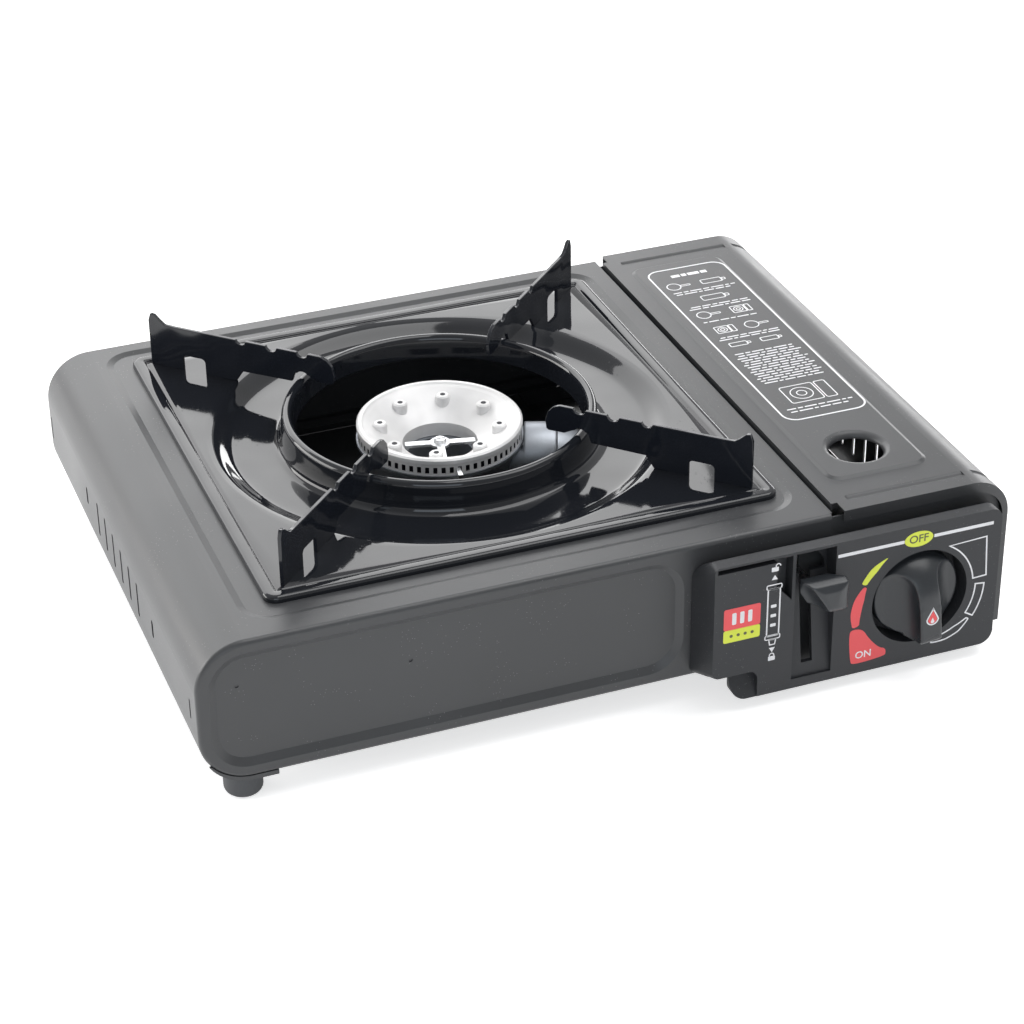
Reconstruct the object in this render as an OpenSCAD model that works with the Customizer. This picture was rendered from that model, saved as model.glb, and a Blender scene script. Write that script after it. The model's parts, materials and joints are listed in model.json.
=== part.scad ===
// Butane cassette stove: pressed-steel casing, lift-off drip tray with four pan supports,
// cast burner, gas regulator with piezo ignition knob, lock lever and hinged cartridge cover.
// Casing coordinates: x from the left side, y from the front sheet, z from the table.
// place() moves them so that the origin is the middle of the footprint.

/* [Casing] */
// Overall width
body_w = 340; // [338:1:344]
// Depth of the sheet-metal body
body_d = 250; // [248:1:254]
// Height of the casing's flat top
case_h = 73; // [72:0.5:75]
// Width of the burner side, up to the cartridge cover
case_w = 261; // [259:0.5:261]
// Height of the burner side's underside above the table
base_z = 12; // [11:0.5:13]
// Height of the cartridge trough's underside above the table
trough_z = 3.2; // [2.5:0.1:4]
// Thickness of the pressed sheet
sheet = 0.8; // [0.6:0.1:1]
// Radius of the casing's long edges
edge_r = 20; // [16:1:22]

/* [Drip tray and pan supports] */
// Centre of tray and burner from the left side
tray_x = 141.5; // [140:0.5:143]
// Centre of tray and burner from the front sheet
tray_y = 128; // [126:0.5:130]
// Side of the square tray
tray_w = 215; // [213:1:217]
// Height of the tray's outer bead over the casing
tray_bead_h = 4; // [3.5:0.1:4.5]
// Radius of the ring that stands round the burner
ring_r = 65.8; // [64:0.1:67]
// Height of that ring over the casing
ring_h = 9.8; // [9:0.1:10.5]
// Height of the pan supports' flat tops over the casing
support_h = 20.8; // [19:0.1:22]
// Outer end of the pan supports from the tray's centre
support_r = 138.5; // [136:0.5:139]
// Thickness of the pan supports
support_t = 1.6; // [1.2:0.1:2]

/* [Burner] */
// Outer radius of the burner head
head_r = 34.8; // [33:0.1:36]
// Number of flame ports
ports = 64; // [48:1:72]
// Number of bosses on the burner's dish
bosses = 8; // [6:1:10]
// Direction of the mixing tube, seen from above
mix_angle = -22; // [-24:1:-20]

/* [Controls] */
// How far the control panel's face stands in front of the sheet
panel_t = 15; // [14:0.5:16]
// How far the knob's grip stands in front of the panel's face
grip_reach = 10; // [9:0.5:11]
// Knob axis from the left side
knob_x = 293.3; // [292:0.1:295]
// Knob axis above the table
knob_z = 36.4; // [35:0.1:38]
// Radius of the knob
knob_r = 18.7; // [17:0.1:19]
// Travel of the lock lever
lever_travel = 26; // [22:1:26]
// Travel of the cartridge yoke that the lever pulls
yoke_travel = 6; // [5:0.5:7]

/* [Cartridge cover] */
// Left edge of the cover
lid_x = 263; // [262.5:0.1:264]
// Top of the cover above the table
lid_h = 74; // [73.5:0.1:75]
// Radius of the cover's long edge
lid_r = 17; // [15:1:18]
// Radius of the hinge rod
hinge_r = 1.5; // [1.3:0.1:1.7]
// Running clearance of every pin and shaft
run = 0.05; // [0.02:0.01:0.1]

/* [Hidden] */
$fn = 64;
steel = "dimgray";
enamel = [0.08, 0.08, 0.09];
cast = "silver";
plastic = [0.2, 0.2, 0.21];
brass = "goldenrod";
front_reach = panel_t + grip_reach;   // knob grip to front sheet
roll = 2;                             // radius of the pressed plates' rims
pan_edge = 5;                         // outline to the pressed recess
pan_slope = 3;                        // width of the recess's slope
pan_depth = 2;                        // depth of the recess
open_w = 200;                         // opening in the casing's top under the tray
open_r = 12;
seat_drop = 0.9;                      // pressed seat round that opening
seat_slope = 3;                       // width of the seat's slope
seat = [24, 11.5, 253, 242];          // its outline: left, front, right, rear
seat_r = 13;
part_x = 255.2;                       // partition between burner and cartridge
trough_x = 219;                       // trough's left wall
rail_x = 331.2;                       // trough's right flange
rail_top = 9;
bulk_y = 2.8;                         // front bulkhead's front face
gap = 0.4;                            // clearance between moving parts
hinge_x = 335.3;
hinge_z = 7;
knuckle_r = 2.9;
knuckles = [24, 92, 160, 226];        // the cover's knuckles along the rod
knuckle_l = 12;
rod_y0 = 12;
rod_y1 = 240;
vent_y = 157;                         // first louvre of the left side wall
vent_pitch = 13.35;
cover_vent_y = 88.1;                  // first vent of the cover's side wall
cover_vent_pitch = 10.8;
hole_x = 292.5;                       // inspection hole in the cover
hole_y = 43.2;
hole_r = 11.25;
channel_x0 = 237.6;                   // lever channel in the panel
channel_x1 = 255;
slot_x0 = 242.7;                      // lever slot in the channel's floor
slot_x1 = 247.6;
slot_z0 = 15.9;
slot_z1 = 58;
lever_z = 50.5;                       // middle of the lever's knob at rest
plate_x = 244.5;                      // lever plate behind the bulkhead
plate_t = 1.4;
pin_y = 20;                           // yoke pin at rest
pin_z = 39;
pin_r = 1.5;
gas_x = knob_x;                       // cartridge axis
gas_z = 38.5;
seat_y = 42;                          // face that the cartridge's collar meets
yoke_y = 49.5;
rod_z = 14;                           // yoke guide rods
rod_off = 26;
rod_r = 2;
mix_r = 13.4;
mix_z = 59;
recess_y = -5;                        // floor of the knob's recess
knob_front = -12;                     // front of the knob's disc
body_bottom = 47;                     // underside of the cast burner body
bracket_angles = [40, 220];           // where the burner's two brackets stand

// ---- helpers -------------------------------------------------------------------------------

module place() translate([-body_w / 2, (front_reach - body_d) / 2, 0]) children();

// A 2-D outline in x and z, from y0 to y1.
module along_y(y0, y1)
  translate([0, y1, 0]) rotate([90, 0, 0]) linear_extrude(y1 - y0) children();

// A 2-D outline in y and z, from x0 to x1.
module along_x(x0, x1)
  translate([x0, 0, 0]) rotate([90, 0, 90]) linear_extrude(x1 - x0) children();

module cyl_y(x, z, r, y0, y1) translate([x, y1, z]) rotate([90, 0, 0]) cylinder(r = r, h = y1 - y0);
module cyl_x(y, z, r, x0, x1) translate([x0, y, z]) rotate([0, 90, 0]) cylinder(r = r, h = x1 - x0);
module cyl_z(x, y, r, z0, z1) translate([x, y, z0]) cylinder(r = r, h = z1 - z0);
module box(a, b) translate(a) cube(b - a);

// What a corner of radius r takes away; sx and sz point into the outline.
module corner_cut(x, z, sx, sz, r)
  difference() {
    translate([sx > 0 ? x - 1 : x - r, sz > 0 ? z - 1 : z - r]) square(r + 1);
    translate([x + sx * r, z + sz * r]) circle(r);
  }

// Rectangle with its own radius at each corner.
module rounded(x0, z0, x1, z1, bl = 0, br = 0, tr = 0, tl = 0)
  difference() {
    translate([x0, z0]) square([x1 - x0, z1 - z0]);
    if (bl > 0) corner_cut(x0, z0, 1, 1, bl);
    if (br > 0) corner_cut(x1, z0, -1, 1, br);
    if (tr > 0) corner_cut(x1, z1, -1, -1, tr);
    if (tl > 0) corner_cut(x0, z1, 1, -1, tl);
  }

module rounded_all(x0, z0, x1, z1, r) rounded(x0, z0, x1, z1, r, r, r, r);

// Sweeps a 2-D profile (u inwards from the outline, v upwards) round a rectangle of corner radius r.
module rim_sweep(w, d, r) {
  for (side = [[0, 0, 0, w], [w, 0, 90, d], [w, d, 180, w], [0, d, 270, d]])
    translate([side[0], side[1], 0]) rotate(side[2])
      translate([r, 0, 0]) rotate([90, 0, 90]) linear_extrude(side[3] - 2 * r) children();
  for (c = [[r, r, 180], [w - r, r, 270], [w - r, d - r, 0], [r, d - r, 90]])
    translate([c[0], c[1], 0]) rotate(c[2])
      rotate_extrude(angle = 90) mirror([1, 0]) translate([-r, 0]) children();
}

// Stands a flat layout up as a plate whose v runs along +Y.
module upright(y) translate([0, y, 0]) mirror([0, 1, 0]) rotate([90, 0, 0]) children();

// One quarter of a bent strip of thickness t: outer radius r, centred on the origin.
module quarter_ring(r, t, a)
  rotate(a) difference() {
    intersection() {
      circle(r);
      square(r + 1);
    }
    circle(r - t);
  }

// ---- casing --------------------------------------------------------------------------------

module case_outline(inset, right)
  rounded(inset, base_z + inset, right, case_h - inset, bl = edge_r - inset, tl = edge_r - inset);

module top_casing()
  color(steel) place() {
    difference() {
      union() {
        along_y(roll, body_d - roll) difference() {
          case_outline(0, case_w);
          case_outline(sheet, case_w + 1);
          translate([28, base_z - 1]) square([case_w, 20]);
        }
        box([case_w - sheet, 5, case_h - 9], [case_w, body_d - 5, case_h - sheet / 2]);
        seat_rim();
      }
      difference() {
        translate([0, 0, case_h - seat_drop]) seat_area(0, 2);
        seat_rim();
      }
      translate([tray_x, tray_y, case_h - 5]) linear_extrude(10)
        rounded_all(-open_w / 2, -open_w / 2, open_w / 2, open_w / 2, open_r);
      for (i = [0 : 5]) side_slot(vent_y - i * vent_pitch, 34.5, 50.2, 2.2);
      side_slot(177, 39, 47, 2.6);
      side_slot(66.4, 39, 47, 2.6);
      side_slot(245, 35, 46, 1.6);
      side_slot(10.7, 37, 46, 1.6);
      case_screw_holes();
    }
  }

// Pressed seat round the tray, wider towards the left than towards the cover.
module seat_area(inset, h)
  linear_extrude(h) rounded_all(seat[0] + inset, seat[1] + inset, seat[2] - inset, seat[3] - inset,
    seat_r - inset);

module seat_rim() {
  translate([seat[0], seat[1], case_h]) rim_sweep(seat[2] - seat[0], seat[3] - seat[1], seat_r)
    polygon([[0, 0], [seat_slope, -seat_drop], [seat_slope, -seat_drop - sheet], [0, -sheet]]);
  translate([0, 0, case_h - seat_drop - sheet]) seat_area(seat_slope, sheet);
}

// A louvre slot in the left side wall, with round ends.
module side_slot(y, z0, z1, w)
  along_x(-1, 3) {
    translate([y - w / 2, z0 + w / 2]) square([w, z1 - z0 - w]);
    translate([y, z0 + w / 2]) circle(w / 2);
    translate([y, z1 - w / 2]) circle(w / 2);
  }

// Pressed end plate, laid flat: rim rolled back, flange inside the casing, shallow recess.
module pressed_plate(w, h, pan_w) {
  rim_sweep(w, h, edge_r) {
    translate([roll, roll]) quarter_ring(roll, sheet, 180);
    translate([sheet, roll - sheet]) square([sheet, 5]);
  }
  linear_extrude(sheet) difference() {
    rounded_all(roll, roll, w - roll, h - roll, edge_r - roll);
    rounded_all(pan_edge, pan_edge, pan_w, h - pan_edge, edge_r - pan_edge);
  }
  translate([pan_edge, pan_edge, 0]) rim_sweep(pan_w - pan_edge, h - 2 * pan_edge, edge_r - pan_edge)
    polygon([[0, 0], [pan_slope, pan_depth], [pan_slope, pan_depth + sheet], [0, sheet]]);
  inner = pan_edge + pan_slope;
  translate([0, 0, pan_depth]) linear_extrude(sheet)
    rounded_all(inner, inner, pan_w - pan_slope, h - inner, edge_r - inner);
}

module front_plate()
  color(steel) place() difference() {
    union() {
      translate([0, 0, base_z]) upright(0) pressed_plate(234, case_h - base_z, 197);
      front_lip();
      front_fold();
    }
    for (p = [[16.3, 53], [84.5, 47.5]]) cyl_y(p[0], p[1], 0.8, -1, pan_depth + 0.4);
  }

// The front plate's rolled top edge goes on to the cover, over the control panel.
module front_fold()
  along_x(196, case_w - 0.8) translate([0, case_h]) rotate(-90) {
    translate([roll, roll]) quarter_ring(roll, sheet, 180);
    translate([sheet, roll - sheet]) square([sheet, 5]);
    translate([roll, 0]) square([9, sheet]);
  }

// The casing's lower corner, curved under the front plate.
module front_lip()
  along_y(0.3, 1.6) intersection() {
    difference() {
      rounded(0.4, base_z - 1.6, 80, 60, bl = edge_r);
      rounded(0, base_z + 0.3, 80, 60, bl = edge_r);
    }
    translate([0, 8]) square([30, 12]);
  }

module rear_plate()
  color(steel) place() translate([0, body_d, base_z]) rotate([90, 0, 0])
    pressed_plate(case_w - 5, case_h - base_z, case_w - 13);

// ---- base ----------------------------------------------------------------------------------

screw_spots = [[24, 22], [24, 228], [208, 22], [208, 228]];

module case_screw_holes()
  for (p = screw_spots) cyl_z(p[0], p[1], 2.1, base_z - 2, base_z + 4);

module base_pan()
  color(steel) place() difference() {
    union() {
      box([21, 7, base_z + sheet], [trough_x + sheet, body_d - 7, base_z + 2 * sheet]);
      along_y(bulk_y + sheet, body_d - bulk_y - sheet) difference() {
        translate([trough_x, trough_z]) square([rail_x + sheet - trough_x, base_z - trough_z + sheet]);
        translate([trough_x + sheet, trough_z + sheet]) square([rail_x - trough_x - sheet, 30]);
        translate([rail_x - 1, rail_top]) square(20);
      }
      for (y = [rod_y0 : 20 : rod_y1 - 4]) if (clear_of_cover(y)) base_knuckle(y);
      for (x = [60, 180]) along_x(x, x + 3) polygon([[30, base_z + 1.5], [220, base_z + 1.5],
        [216, base_z + 3.5], [34, base_z + 3.5]]);
    }
    case_screw_holes();
    for (y = [70 : 12 : 190]) box([30, y, base_z - 1], [52, y + 3, base_z + 4]);
    for (y = [80 : 14 : 200]) box([226, y, trough_z - 1], [248, y + 4, trough_z + 2]);
    cyl_z(tray_x, tray_y, 9, base_z - 1, base_z + 5);
    cyl_y(hinge_x, hinge_z, hinge_r, 0, body_d);
  }

function clear_of_cover(y) =
  len([for (k = knuckles) if (abs(y - k) < knuckle_l / 2 + 4.6) k]) == 0;

module base_knuckle(y) {
  cyl_y(hinge_x, hinge_z, knuckle_r - 0.2, y - 4, y + 4);
  box([rail_x, y - 4, trough_z], [hinge_x - 1, y + 4, hinge_z]);
}

module foot(x, y, r, h, round_r)
  color([0.25, 0.25, 0.25]) place() translate([x, y, 0]) rotate_extrude() {
    translate([0, round_r]) square([r, h - round_r]);
    square([r - round_r, h]);
    translate([r - round_r, round_r]) circle(round_r);
  }

module foot_front_left() foot(18, 10, 7.7, base_z, 3);
module foot_rear_left() foot(18, body_d - 10, 7.7, base_z, 3);
module foot_front_right() foot(312, 14, 7.7, trough_z, 1);
module foot_rear_right() foot(312, body_d - 14, 7.7, trough_z, 1);

module case_screws()
  color("silver") place() for (p = screw_spots) {
    difference() {
      translate([p[0], p[1], base_z - 1.6]) cylinder(r1 = 2.9, r2 = 3.6, h = 1.6);
      box([p[0] - 2, p[1] - 0.4, base_z - 2], [p[0] + 2, p[1] + 0.4, base_z - 0.9]);
      box([p[0] - 0.4, p[1] - 2, base_z - 2], [p[0] + 0.4, p[1] + 2, base_z - 0.9]);
    }
    cyl_z(p[0], p[1], 2, base_z, base_z + 7);
  }

// ---- bulkheads and partition ---------------------------------------------------------------

// End wall of the cartridge bay from x0; its foot reaches under the burner side.
module bulkhead(y, x0)
  along_y(y, y + sheet) {
    rounded(x0, trough_z, body_w - 2.6, lid_h - 3.6, tr = lid_r - 3, br = 6);
    translate([trough_x, trough_z]) square([x0 + 1 - trough_x, base_z - trough_z - 0.4]);
  }

module front_bulkhead()
  color(steel) place() difference() {
    bulkhead(bulk_y, 236);
    box([slot_x0, 0, slot_z0 - 1], [slot_x1, 10, slot_z1]);
    cyl_y(knob_x, knob_z, 4, 0, 10);
    for (p = panel_screw_spots) cyl_y(p[0], p[1], 1.8, 0, 10);
    for (p = regulator_screw_spots) cyl_y(p[0], p[1], 1.8, 0, 10);
    for (x = [-rod_off, rod_off]) cyl_y(gas_x + x, rod_z, rod_r, 0, 10);
  }

module rear_bulkhead()
  color(steel) place() {
    bulkhead(body_d - bulk_y - sheet, part_x + 1.2);
    box([gas_x - 24, body_d - 12, trough_z + sheet],
      [gas_x + 24, body_d - bulk_y - sheet / 2, trough_z + 2 * sheet]);
  }

module heat_partition()
  color("lightgray") place() difference() {
    union() {
      box([part_x, 4.4, trough_z + sheet], [part_x + sheet, body_d - 4.4, case_h - 1.9]);
      box([part_x - 7, 12, case_h - 2.7], [part_x + sheet, body_d - 12, case_h - 1.9]);
    }
    box([part_x - 1, pin_y - yoke_travel - 4, pin_z - 4], [part_x + 2, pin_y + 4, pin_z + 4]);
    cyl_x(31, 57, 3.4, part_x - 2, part_x + 3);
    cyl_x(lead_y, lead_z, 2.2, part_x - 2, part_x + 3);
    for (y = [70 : 16 : 214]) along_x(part_x - 1, part_x + 2) {
      translate([y, 24]) square([3, 12]);
      translate([y + 1.5, 24]) circle(1.5);
      translate([y + 1.5, 36]) circle(1.5);
    }
  }

// ---- control panel -------------------------------------------------------------------------

panel_screw_spots = [[262, 12], [324, 12], [262, 60], [324, 60]];
wall_t = 2;
rim_y = -9.5;                         // rear edge of the panel's top rim
rim_z = 70;                           // top of that rim
back_z = 64;                          // top of the panel's rear edge
rim_t = 1.2;                          // thickness of the rim over the channel

// Front outline of the panel: upper block over the burner side, deeper block over the cartridge.
module block_outline(grow, top, tl)
  rounded(203 - 3 * grow, 18.5 - 5 * grow, 260, top, bl = 3, tl = tl);
module main_outline(grow, top)
  rounded(212 + 5.5 * grow, 6 - grow, 328.4 + 5.5 * grow, top, bl = 6, br = 6, tr = 5);

// Each block narrows to the front; its top slopes down behind the rim.
module upper_block(inset)
  hull() {
    front = [203 + inset, 18.5 + inset];
    back = [200 + inset, 13.5 + inset];
    along_y(-panel_t + inset, rim_y - inset / 3) intersection() {
      block_outline(0, rim_z, 2);
      translate(front) square([90, rim_z - inset - front[1]]);
    }
    along_y(-gap - 0.1, -gap) intersection() {
      block_outline(1, back_z, 6);
      translate(back) square([90, back_z - inset - back[1]]);
    }
  }

module main_block(inset)
  hull() {
    front = [212 + inset, 6 + inset];
    back = [217.5 + inset, 5 + inset];
    along_y(-panel_t + inset, rim_y - inset / 3) intersection() {
      main_outline(0, rim_z);
      translate(front) square([328.4 - inset - front[0], rim_z - inset - front[1]]);
    }
    along_y(-gap - 0.1, -gap) intersection() {
      main_outline(1, back_z);
      translate(back) square([333.9 - inset - back[0], back_z - inset - back[1]]);
    }
  }

// Sloping channel of the lever, closed at the top below the rim.
module channel_cut(x0, x1, back)
  along_x(x0, x1) polygon([[-panel_t - 1, 10.3], [-panel_t + 1.2 + back, 10.3],
    [-5.8 + back, 65.4], [rim_y - 0.3, rim_z - rim_t], [-panel_t - 1, rim_z - rim_t]]);

// Side view of the space inside the panel's outer faces.
module panel_inside(x0, x1)
  along_x(x0, x1) polygon([[-panel_t + 0.5, 5.5], [-gap, 5.5], [-gap, back_z - 0.4],
    [rim_y, rim_z - 0.4], [-panel_t + 0.5, rim_z - 0.4]]);

module control_panel()
  color(plastic) place() {
    difference() {
      union() {
        difference() {
          union() {
            upper_block(0);
            main_block(0);
          }
          translate([0, 0.2, 0]) upper_block(wall_t);
          translate([0, 0.2, 0]) main_block(wall_t);
        }
        intersection() {
          main_block(0);
          along_x(208, 224.7) polygon([[-16, 3], [-6.8, 18.5], [-6.8, 20.5], [-16, 20.5]]);
        }
        box([204.5, -panel_t + 0.5, 64.9], [channel_x0, rim_y + 1, rim_z - 0.5]);
        box([227.5, -panel_t + 0.5, 44], [channel_x0, -7, 66]);
      }
      cyl_y(knob_x, knob_z, 21.2, -panel_t - 1, recess_y);
      channel_cut(channel_x0, channel_x1, 0);
      box([slot_x0, -30, slot_z0], [slot_x1, 1, slot_z1]);
      slot_mouth();
      brow_cut();
      side_pocket();
      finger_scoop();
    }
    difference() {
      intersection() {
        union() {
          cyl_y(knob_x, knob_z, 21.2 + wall_t, -panel_t + 0.5, -gap);
          channel_cut(channel_x0 - wall_t, channel_x1 + wall_t, wall_t);
          for (p = panel_screw_spots) cyl_y(p[0], p[1], 3.6, -panel_t + 0.5, -gap);
        }
        panel_inside(channel_x0 - wall_t, 330);
      }
      cyl_y(knob_x, knob_z, 21.2, -panel_t - 1, recess_y);
      cyl_y(knob_x, knob_z, 3.6, -panel_t, 1);
      cyl_y(knob_x, knob_z, 17, recess_y + wall_t, 1);
      channel_cut(channel_x0, channel_x1, 0);
      box([slot_x0, -30, slot_z0], [slot_x1, 1, slot_z1]);
      slot_mouth();
      for (p = panel_screw_spots) cyl_y(p[0], p[1], 1.5, -9, 1);
      side_pocket();
    }
  }

// Wide upper end of the lever's slot, where the lever goes in.
module slot_mouth()
  along_y(-12, 1) polygon([[241.3, slot_z1 - 3], [254, slot_z1 - 3], [254, 59], [250.9, 62.8],
    [241.3, 62.8]]);

// Undercut between the panel's face and the rim.
module brow_cut()
  along_x(204.2, 232) polygon([[-panel_t - 1, 67], [-panel_t, 67], [rim_y - 1, 66.6],
    [rim_y - 1, rim_z - 1.3], [-panel_t - 1, rim_z - 0.9]]);

// Bevelled pocket on the left of the lever channel.
module side_pocket()
  along_y(-panel_t - 1, -panel_t + 6)
    polygon([[229.5, rim_z - 1.3], [channel_x0 - 1.4, rim_z - 1.3], [channel_x0 - 1.4, 48.5],
      [229.5, 56]]);

// Scoop in the lower left corner, deepest at its rounded top.
module finger_scoop()
  intersection() {
    along_x(200, 222.7) polygon([[-panel_t - 1, 4], [-panel_t, 5.5], [-9, 18.5],
      [-panel_t - 1, 18.5]]);
    along_y(-panel_t - 1, 0) rounded(190, 0, 222.7, 18.5, tr = 4);
  }

module panel_screws()
  color("silver") place() for (p = panel_screw_spots) {
    cyl_y(p[0], p[1], 1.5, -8, bulk_y + sheet);
    difference() {
      cyl_y(p[0], p[1], 3, bulk_y + sheet, bulk_y + sheet + 1.8);
      box([p[0] - 2, bulk_y + sheet + 1, p[1] - 0.4], [p[0] + 2, bulk_y + 5, p[1] + 0.4]);
    }
  }

// ---- gas train -----------------------------------------------------------------------------

regulator_screw_spots = [[knob_x - 13, 26], [knob_x + 13, 26], [knob_x - 13, 58], [knob_x + 13, 58]];

module gas_regulator()
  color(cast) place() difference() {
    union() {
      along_y(bulk_y + sheet, 34) rounded_all(knob_x - 17, 21, knob_x + 17, 63, 4);
      cyl_y(gas_x, gas_z, 15, 34, seat_y);
      cyl_x(18, 46, 9, knob_x + 17, knob_x + 26);
      cyl_x(31, 57, 5, knob_x - 22, knob_x - 17);
      box([gas_x - 2, 34, gas_z + 13], [gas_x + 2, seat_y + 4, gas_z + 16.5]);
    }
    cyl_y(gas_x, gas_z, 4.5, seat_y - 12, seat_y + 1);
    difference() {
      cyl_y(gas_x, gas_z, 11, seat_y - 1.5, seat_y + 1);
      cyl_y(gas_x, gas_z, 7, seat_y - 3, seat_y + 2);
    }
    cyl_y(knob_x, knob_z, 3 + run, 0, 20);
    for (p = regulator_screw_spots) cyl_y(p[0], p[1], 1.5, 0, 16);
    cyl_x(31, 57, 2.5, knob_x - 23, knob_x - 12);
  }

module regulator_screws()
  color("silver") place() for (p = regulator_screw_spots) {
    cyl_y(p[0], p[1], 1.5, 1.9, 14);
    cyl_y(p[0], p[1], 2.8, 0.7, bulk_y);
  }

pipe_r = 2.5;
pipe_x = 250;
pipe_bend = 7;

module gas_pipe()
  color(brass) place() {
    cyl_x(31, 57, pipe_r, pipe_x + pipe_bend, knob_x - 13);
    translate([pipe_x + pipe_bend, 31 + pipe_bend, 57]) rotate(180) rotate_extrude(angle = 90)
      translate([pipe_bend, 0]) circle(pipe_r);
    cyl_y(pipe_x, 57, pipe_r, 31 + pipe_bend, 80);
  }

// Children drawn along the mixing tube: local +X runs from the burner's centre along the tube.
module on_tube() translate([tray_x, tray_y, 0]) rotate(mix_angle) children();

nozzle_at = 110;

module nozzle_holder()
  color(brass) place() difference() {
    on_tube() translate([nozzle_at, 0, 57]) rotate([0, 90, 0]) cylinder(r = 5.2, h = 10, $fn = 6);
    cyl_y(pipe_x, 57, pipe_r, 30, 80);
    on_tube() cyl_x(0, 57, 2, nozzle_at - 1, nozzle_at + 4);
  }

module gas_nozzle()
  color(brass) place() on_tube() difference() {
    union() {
      cyl_x(0, 57, 2, nozzle_at - 3, nozzle_at + 4);
      translate([nozzle_at - 8, 0, 57]) rotate([0, 90, 0]) cylinder(r1 = 1.2, r2 = 3, h = 5);
      cyl_x(0, 57, 3, nozzle_at - 3, nozzle_at);
    }
    cyl_x(0, 57, 0.4, nozzle_at - 9, nozzle_at + 5);
  }

// ---- burner --------------------------------------------------------------------------------

// Mixing tube from the burner's cup outwards, necked where it passes under the tray.
tube_outside = [[24, 0], [24, 9.6], [35.8, 9.6], [37, mix_r], [48, mix_r], [62, 10], [92, 9],
  [100, 11], [103, 11], [103, 0]];
tube_inside = [[20, 0], [20, 7.8], [38, 7.8], [48, mix_r - 2], [62, 8], [92, 7], [100, 9.4],
  [104, 9.4], [104, 0]];

module mixing_tube(side)
  on_tube() translate([0, 0, mix_z]) rotate([0, 91.2, 0]) rotate_extrude() rotate(90)
    mirror([0, 1]) polygon(side);

module burner_body()
  color(cast) place() difference() {
    union() {
      translate([tray_x, tray_y, case_h]) rotate_extrude() polygon([[head_r + 0.3, -5], [head_r + 0.3, -6.4],
        [head_r - 1.5, -8], [head_r - 5, body_bottom - case_h + 4], [head_r - 9, body_bottom - case_h],
        [14, body_bottom - case_h], [14, -14.2], [16.5, -14.2], [16.5, body_bottom - case_h + 3],
        [head_r - 10, body_bottom - case_h + 3], [head_r - 8, body_bottom - case_h + 6],
        [head_r - 4, -7.2], [head_r - 4, -5]]);
      difference() {
        mixing_tube(tube_outside);
        cyl_z(tray_x, tray_y, head_r - 4.4, 40, 80);
      }
      for (a = bracket_angles) translate([tray_x, tray_y, body_bottom]) rotate(a)
        translate([20, -5, 0]) cube([9, 10, 4]);
    }
    mixing_tube(tube_inside);
    for (a = bracket_angles) translate([tray_x, tray_y, 0]) rotate(a) cyl_z(24, 0, 1.6, 40, body_bottom + 3);
  }

module burner_head()
  color(cast) place() translate([tray_x, tray_y, case_h]) difference() {
    union() {
      rotate_extrude() polygon([[15.8, -8], [16.8, -7.4], [30.6, 1.4], [31.9, 2], [32.6, 2.7], [34, 2.7],
        [head_r, 2], [head_r, 0.4], [head_r - 0.4, 0], [head_r - 0.4, -5], [head_r - 3.6, -5],
        [head_r - 3.6, -0.6], [30, -1], [18, -9.6], [18, -14], [15.8, -14]]);
      for (i = [0 : bosses - 1]) rotate(i * 360 / bosses + 180 / bosses) translate([25, 0, -6]) {
        cylinder(r = 3, h = 6.2);
        translate([0, 0, 6.2]) cylinder(r1 = 3, r2 = 2.4, h = 0.6);
      }
    }
    for (i = [0 : bosses - 1]) rotate(i * 360 / bosses + 180 / bosses)
      translate([25, 0, -1]) cylinder(r = 0.9, h = 3);
    for (i = [0 : ports - 1]) rotate(i * 360 / ports)
      translate([head_r - 2.8, -0.85, -4]) cube([4, 1.7, 2.8]);
  }

bridge_z = case_h - 9.6;
bridge_angles = [166, 256, 346];

module head_bridge()
  color("lightgray") place() translate([tray_x, tray_y, bridge_z]) difference() {
    union() {
      cylinder(r = 4.4, h = 1.4);
      for (a = bridge_angles) rotate(a) translate([0, -1.7, 0]) cube([14.9, 3.4, 1.4]);
      for (a = bridge_angles) rotate(a) translate([13.7, -1.7, -4.5]) cube([1.2, 3.4, 5]);
    }
    translate([0, 0, -1]) cylinder(r = 1.6, h = 4);
  }

module bridge_screw()
  color("silver") place() translate([tray_x, tray_y, bridge_z]) {
    difference() {
      translate([0, 0, 1.4]) cylinder(r1 = 2.8, r2 = 2.2, h = 1.5);
      translate([-3, -0.35, 2.2]) cube([6, 0.7, 2]);
    }
    translate([0, 0, -5]) cylinder(r = 1.5, h = 6.4);
  }

module burner_brackets()
  color("lightgray") place() for (a = bracket_angles) translate([tray_x, tray_y, 0]) rotate(a)
    difference() {
      along_y(-6, 6) polygon([[20, body_bottom], [34, body_bottom], [34, base_z + 3.2],
        [44, base_z + 3.2], [44, base_z + 2], [32.8, base_z + 2], [32.8, body_bottom - 1.2],
        [20, body_bottom - 1.2]]);
      cyl_z(24, 0, 1.6, 40, 60);
      cyl_z(39, 0, 1.6, 10, 20);
    }

module burner_screws()
  color("silver") place() for (a = bracket_angles) translate([tray_x, tray_y, 0]) rotate(a) {
    cyl_z(24, 0, 1.6, body_bottom - 1.2, body_bottom + 3);
    translate([24, 0, body_bottom - 3]) cylinder(r1 = 2.2, r2 = 2.9, h = 1.8);
    cyl_z(39, 0, 1.6, base_z + 2, base_z + 3.2);
    translate([39, 0, base_z + 3.2]) cylinder(r1 = 2.9, r2 = 2.2, h = 1.8);
  }

// ---- ignition ------------------------------------------------------------------------------

spark_x = 136;
spark_y = 87;
lead_y = 40;
lead_z = 23;
lead_r = 1.5;
lead_bend = 5;

module electrode()
  color("silver") place() {
    cyl_z(spark_x, spark_y, 0.9, 33, case_h - 1.6);
    translate([spark_x, spark_y, case_h - 1.6]) rotate([0, 0, 82]) translate([-0.9, -0.9, -0.9])
      cube([6.2, 1.8, 1.8]);
  }

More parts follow.
